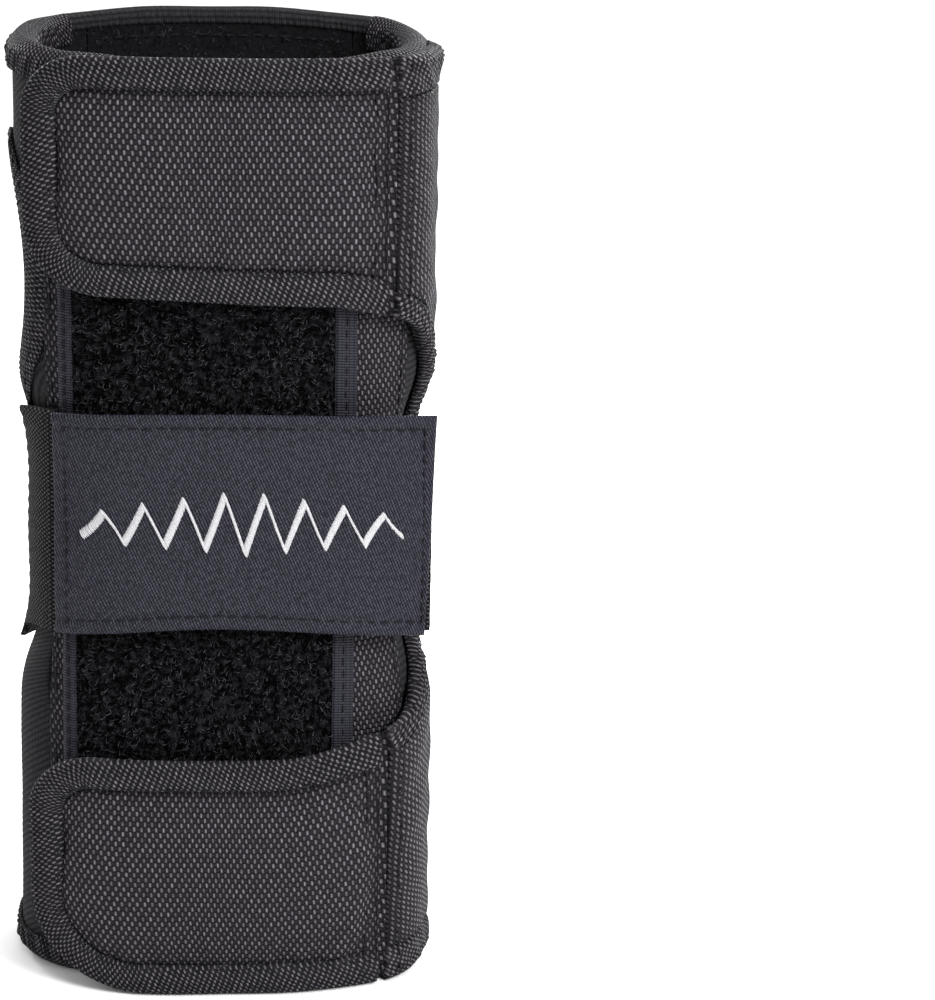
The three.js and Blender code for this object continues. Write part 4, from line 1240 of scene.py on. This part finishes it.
def band_route():
    """The strap's inner face seen from above, a smooth line through its turns."""
    back = SLEEVE_BACK + BAND["standoff"]
    side = float(half_width(105.0))
    over = SLEEVE_BACK + GAP + SPLINT["bow"] + SPLINT["thick"] + 0.5
    half = SPLINT["half"]
    turns = [(side + 6.2, -back + 8.4), (30, -back + 3.1), (15, -back + 0.7), (0, -back)]
    turns += [(-15, -back + 0.8), (-27, -back + 3.6), (-34.6, -back + 9.2)]
    turns += [(-side + 0.2, -10.5), (-side - 0.9, 0), (-side + 0.4, 11)]
    turns += [(-32.5, 24), (-half - 2, over - 2), (-half + 3, over), (0, over + 0.7), (half - 3, over)]
    turns += [(half + 2, over - 2), (32.5, 24), (side - 0.1, 11), (side + 0.9, 4.6)]
    p = np.array(turns)
    p = np.concatenate([[2 * p[0] - p[1]], p, [2 * p[-1] - p[-2]]])
    out = []
    t = np.linspace(0, 1, 61)[:, None]
    for i in range(1, len(p) - 2):
        p0, p1, p2, p3 = p[i - 1 : i + 3]
        d0, d1, d2 = (np.linalg.norm(b - a) ** 0.5 for a, b in ((p0, p1), (p1, p2), (p2, p3)))
        t1 = ((p1 - p0) / d0 - (p2 - p0) / (d0 + d1) + (p2 - p1) / d1) * d1
        t2 = ((p2 - p1) / d1 - (p3 - p1) / (d1 + d2) + (p3 - p2) / d2) * d1
        seg = p1 + t1 * t + (-3 * p1 + 3 * p2 - 2 * t1 - t2) * t**2 + (2 * p1 - 2 * p2 + t1 + t2) * t**3
        out.append(seg if i == 1 else seg[1:])
    return np.concatenate(out)


ROUTE = band_route()
ROUTE_S = distances(ROUTE)
BAND_LENGTH = float(ROUTE_S[-1])
SEAM_S = float(ROUTE_S[np.nonzero(ROUTE[:, 0] < BAND["hinge"])[0][0]])


def on_band(s, across, out):
    """A place on the strap: s along it, across from -1 to 1 over its width, out from its inner face."""
    s, across, out = (np.asarray(v, float) for v in (s, across, out))
    s, across, out = np.broadcast_arrays(s, across, out)

    def at(s):
        return np.interp(s, ROUTE_S, ROUTE[:, 0]), np.interp(s, ROUTE_S, ROUTE[:, 1])

    (x, y), (x1, y1), (x0, y0) = at(s), at(s + 0.6), at(s - 0.6)
    tx, ty = x1 - x0, y1 - y0
    n = np.hypot(tx, ty)
    away = np.arctan2(x, -y)
    half = BAND["half"] + BAND["more"] * np.sin(away) ** 2 - BAND["less"] * ease(0.4, 1, -np.cos(away))
    z = BAND["z"] + BAND["tilt"] * spow(np.cos(away), 0.5) + across * half
    flare = 1 + (half_width(z) / half_width(105.0) - 1) * ease(-17, -6, y)
    return np.stack([x * flare - ty / n * out, y + tx / n * out, z], -1)


def add_wrist_strap():
    """The elastic round the palm and, past its seam, the strap with its badge and hook patch."""
    half = BAND["half"]
    far, start = SEAM_S - 0.45, SEAM_S + 0.45
    on = dict(body="wrist_strap", place=on_band)

    def add(name, S_, A, inner, outer, look, rounding, **more):
        return skin(name, S_, A / half, inner, outer, look, rounding=rounding, uv=(S_, A), **(on | more))

    S_, A = np.meshgrid(fine(0, far, 0.9, 1.2), fine(-half, half, 0.8, 1.2))
    S_ = S_ + 1.1 * (1 - A / half) * ease(14, 0, S_)
    edge = np.minimum(S_, half - np.abs(A))
    dip = 0.35 * bell(edge - 3.0, 0.6) - 0.25 * bell(edge - 1.4, 0.9)
    sag = 0.25 * ripple(np.stack([S_, A, 0 * A], -1), 30, 12)
    ob = add("wrist_strap_face", S_, A, 2.45, 3.5 - dip + sag, "twill", 0.8)
    S_, A = np.meshgrid(fine(0.4, far, 1.2, 1.2), fine(-half * 0.97, half * 0.97, 1.2, 1.2))
    ob = add("wrist_strap_core", S_, A, 1.1, 2.4 + 0.1 * np.sin(A * 4), "elastic", 0.5)
    S_, A = np.meshgrid(fine(0.9, 62, 1.5), fine(-half * 0.9, half * 0.9, 1.5))
    add("wrist_strap_hook_patch", S_, A, 0.45, 0.85, "hook", 0.2)
    hs, ha = np.meshgrid(np.arange(1.6, 61.5, 1.05), np.arange(-half * 0.88, half * 0.88, 0.95))
    hooks("wrist_strap_hooks", hs, ha, 0.5, "wrist_strap", -0.7, 31, lambda s, a, o: on_band(s, a / half, o))

    inset = 3.0
    long_side, short_side = np.linspace(far - 2, inset + 1.5, 200), np.linspace(half - inset, -half + inset, 80)
    s = np.concatenate([long_side, np.full(80, inset), long_side[::-1]])
    a = np.concatenate([np.full(200, half - inset), short_side, np.full(200, -half + inset)])
    rows = [line_on(s, a / half, 3.3, on_band)]
    a = np.linspace(-half + 1.5, half - 1.5, 90)
    rows.append(line_on(np.full(90, far - 3.0), a / half, 3.42, on_band))
    stitches("wrist_strap_stitches", rows, "wrist_strap", pitch=3.0, length=2.4, radius=0.24, slot="twill")

    x = np.linspace(0, 1, 2400)
    height = np.interp(x, [0, 0.12, 0.5, 0.88, 1], [0.35, 0.7, 1.25, 0.7, 0.35])
    rise = 5.2 * np.interp(x * 8 % 1, [0, 0.5, 1], [-1, 1, -1]) * height
    line = np.stack([8 + 66 * (1 - x), rise, 0 * x], -1)
    across = np.linspace(-1.15, 1.15, 9)
    threads = []
    for s, a, _ in follow(line, np.arange(0, distances(line)[-1], 0.36)):
        threads.append(line_on(s + across * 0.45, (a + across * 0.89) / half, 3.5, on_band))
    satin = dict(look="pale_thread", slot="twill", pitch=2.3, length=2.3, radius=0.25, lift=0.35, uneven=0.05)
    stitches("wrist_strap_zigzag", threads, "wrist_strap", **satin)

    S_, A = np.meshgrid(fine(start, BAND_LENGTH, 0.9, 1.2), fine(-half, half, 0.7, 1.2))
    outer = 2.0 + 0.12 * np.sin(A * 2 * np.pi / 2.7) + 0.18 * ripple(np.stack([S_, A, 0 * A], -1), 22, 14)
    ob = add("wrist_elastic", S_, A, 0.6, outer, "elastic", 0.6, body="sleeve")
    S_, A = np.meshgrid(np.linspace(SEAM_S - 2.2, SEAM_S + 2.2, 15), fine(-half + 0.4, half - 0.4, 1.0, 1.2))
    outer = 2.2 - 0.5 * bell(S_ - SEAM_S, 0.9)
    ob = add("wrist_strap_joining_tape", S_, A, 0.9, outer, "elastic", 0.3, body=None, sides="bt")
    a, b = ((on_band(SEAM_S + side, 0.0, 1.3) + SHIFT) * MM for side in (1.6, -1.6))
    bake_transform(ob)


# ---- Seams between the knit and the leather ----


def zigzag(name, side):
    """The seam between the knit and the leather, on one side of the palm."""
    zs = np.arange(9, 202, 0.25)
    sway = 1.5 * np.interp((zs / 2.6) % 1, [0, 0.5, 1], [-1, 1, -1])
    p = line_on(mid(zs) + side * (LEATHER_HALF + 1.6) + sway, zs, 0.35)
    stitches(name, [p], "sleeve", pitch=1.0, length=1.25, radius=0.2, lift=0.06, uneven=0.03)


add_sleeve()
add_thumb_binding()
add_rim("top_rim_binding", True)
add_palm_rim("palm_top_tape", True)
add_palm_rim("palm_bottom_tape", False)
add_rim("bottom_rim_binding", False)
add_dorsal()
add_palm()
add_tail("upper_strap", UPPER, 1)
add_tail("lower_strap", LOWER, 2)
add_wing()
add_wrist_strap()
zigzag("zigzag_little_finger_side", -1)
zigzag("zigzag_thumb_side", 1)

# ---- Floor, light ----

floor_mesh = bpy.data.meshes.new("floor")
REACH = 6
corners = [(-REACH, -REACH, 0), (REACH, -REACH, 0), (REACH, REACH, 0), (-REACH, REACH, 0)]
floor_mesh.from_pydata(corners, [], [(0, 1, 2, 3)])
floor = bpy.data.objects.new("floor", floor_mesh)
scene.collection.objects.link(floor)
pale = bpy.data.materials.new("pale_floor")
pale.use_nodes = True
pale.node_tree.nodes["Principled BSDF"].inputs["Base Color"].default_value = (0.93, 0.93, 0.93, 1)
pale.node_tree.nodes["Principled BSDF"].inputs["Roughness"].default_value = 0.9
floor_mesh.materials.append(pale)

world = bpy.data.worlds.new("studio")
world.use_nodes = True
sky = world.node_tree.nodes["Background"]
sky.inputs["Color"].default_value = (1, 1, 1, 1)
path = world.node_tree.nodes.new("ShaderNodeLightPath")
level = world.node_tree.nodes.new("ShaderNodeMapRange")
LIT_BY_SKY, SEEN_SKY = 0.22, 1.0
level.inputs["To Min"].default_value, level.inputs["To Max"].default_value = LIT_BY_SKY, SEEN_SKY
world.node_tree.links.new(path.outputs["Is Camera Ray"], level.inputs["Value"])
world.node_tree.links.new(level.outputs["Result"], sky.inputs["Strength"])
scene.world = world


def add_light(name, kind, power):
    light = bpy.data.lights.new(name, kind)
    light.energy = power
    ob = bpy.data.objects.new(name, light)
    scene.collection.objects.link(ob)
    return light, ob


def lamp(name, place, size, power):
    light, ob = add_light(name, "AREA", power)
    light.shape, light.size = "SQUARE", size
    ob.location = place
    ob.rotation_euler = (Vector((0, 0, 0.12)) - Vector(place)).to_track_quat("-Z", "Y").to_euler()


def sun(name, azimuth, elevation, spread, strength):
    """A broad soft light. Azimuth 0 is in front of the back of the hand, 90 on the little-finger side."""
    light, ob = add_light(name, "SUN", strength)
    light.angle = math.radians(spread)
    a, e = math.radians(azimuth), math.radians(elevation)
    away = Vector((math.sin(a) * math.cos(e), -math.cos(a) * math.cos(e), math.sin(e)))
    ob.rotation_euler = away.to_track_quat("Z", "Y").to_euler()


sun("key", 44, 42, 35, 1.7)
sun("fill", -70, 32, 55, 1.1)
sun("top", 0, 85, 50, 1.0)
sun("back", 165, 50, 50, 0.9)
lamp("box_front", (0.40, -0.50, 0.42), 0.22, 5.0)
lamp("panel_back", (0.02, 0.70, 0.54), 0.26, 0.9)
lamp("panel_back_left", (0.40, 0.58, 0.46), 0.24, 5.6)
lamp("panel_back_right", (-0.44, 0.56, 0.34), 0.2, 3.4)

scene.view_settings.view_transform = "Standard"
scene.view_settings.look = "None"
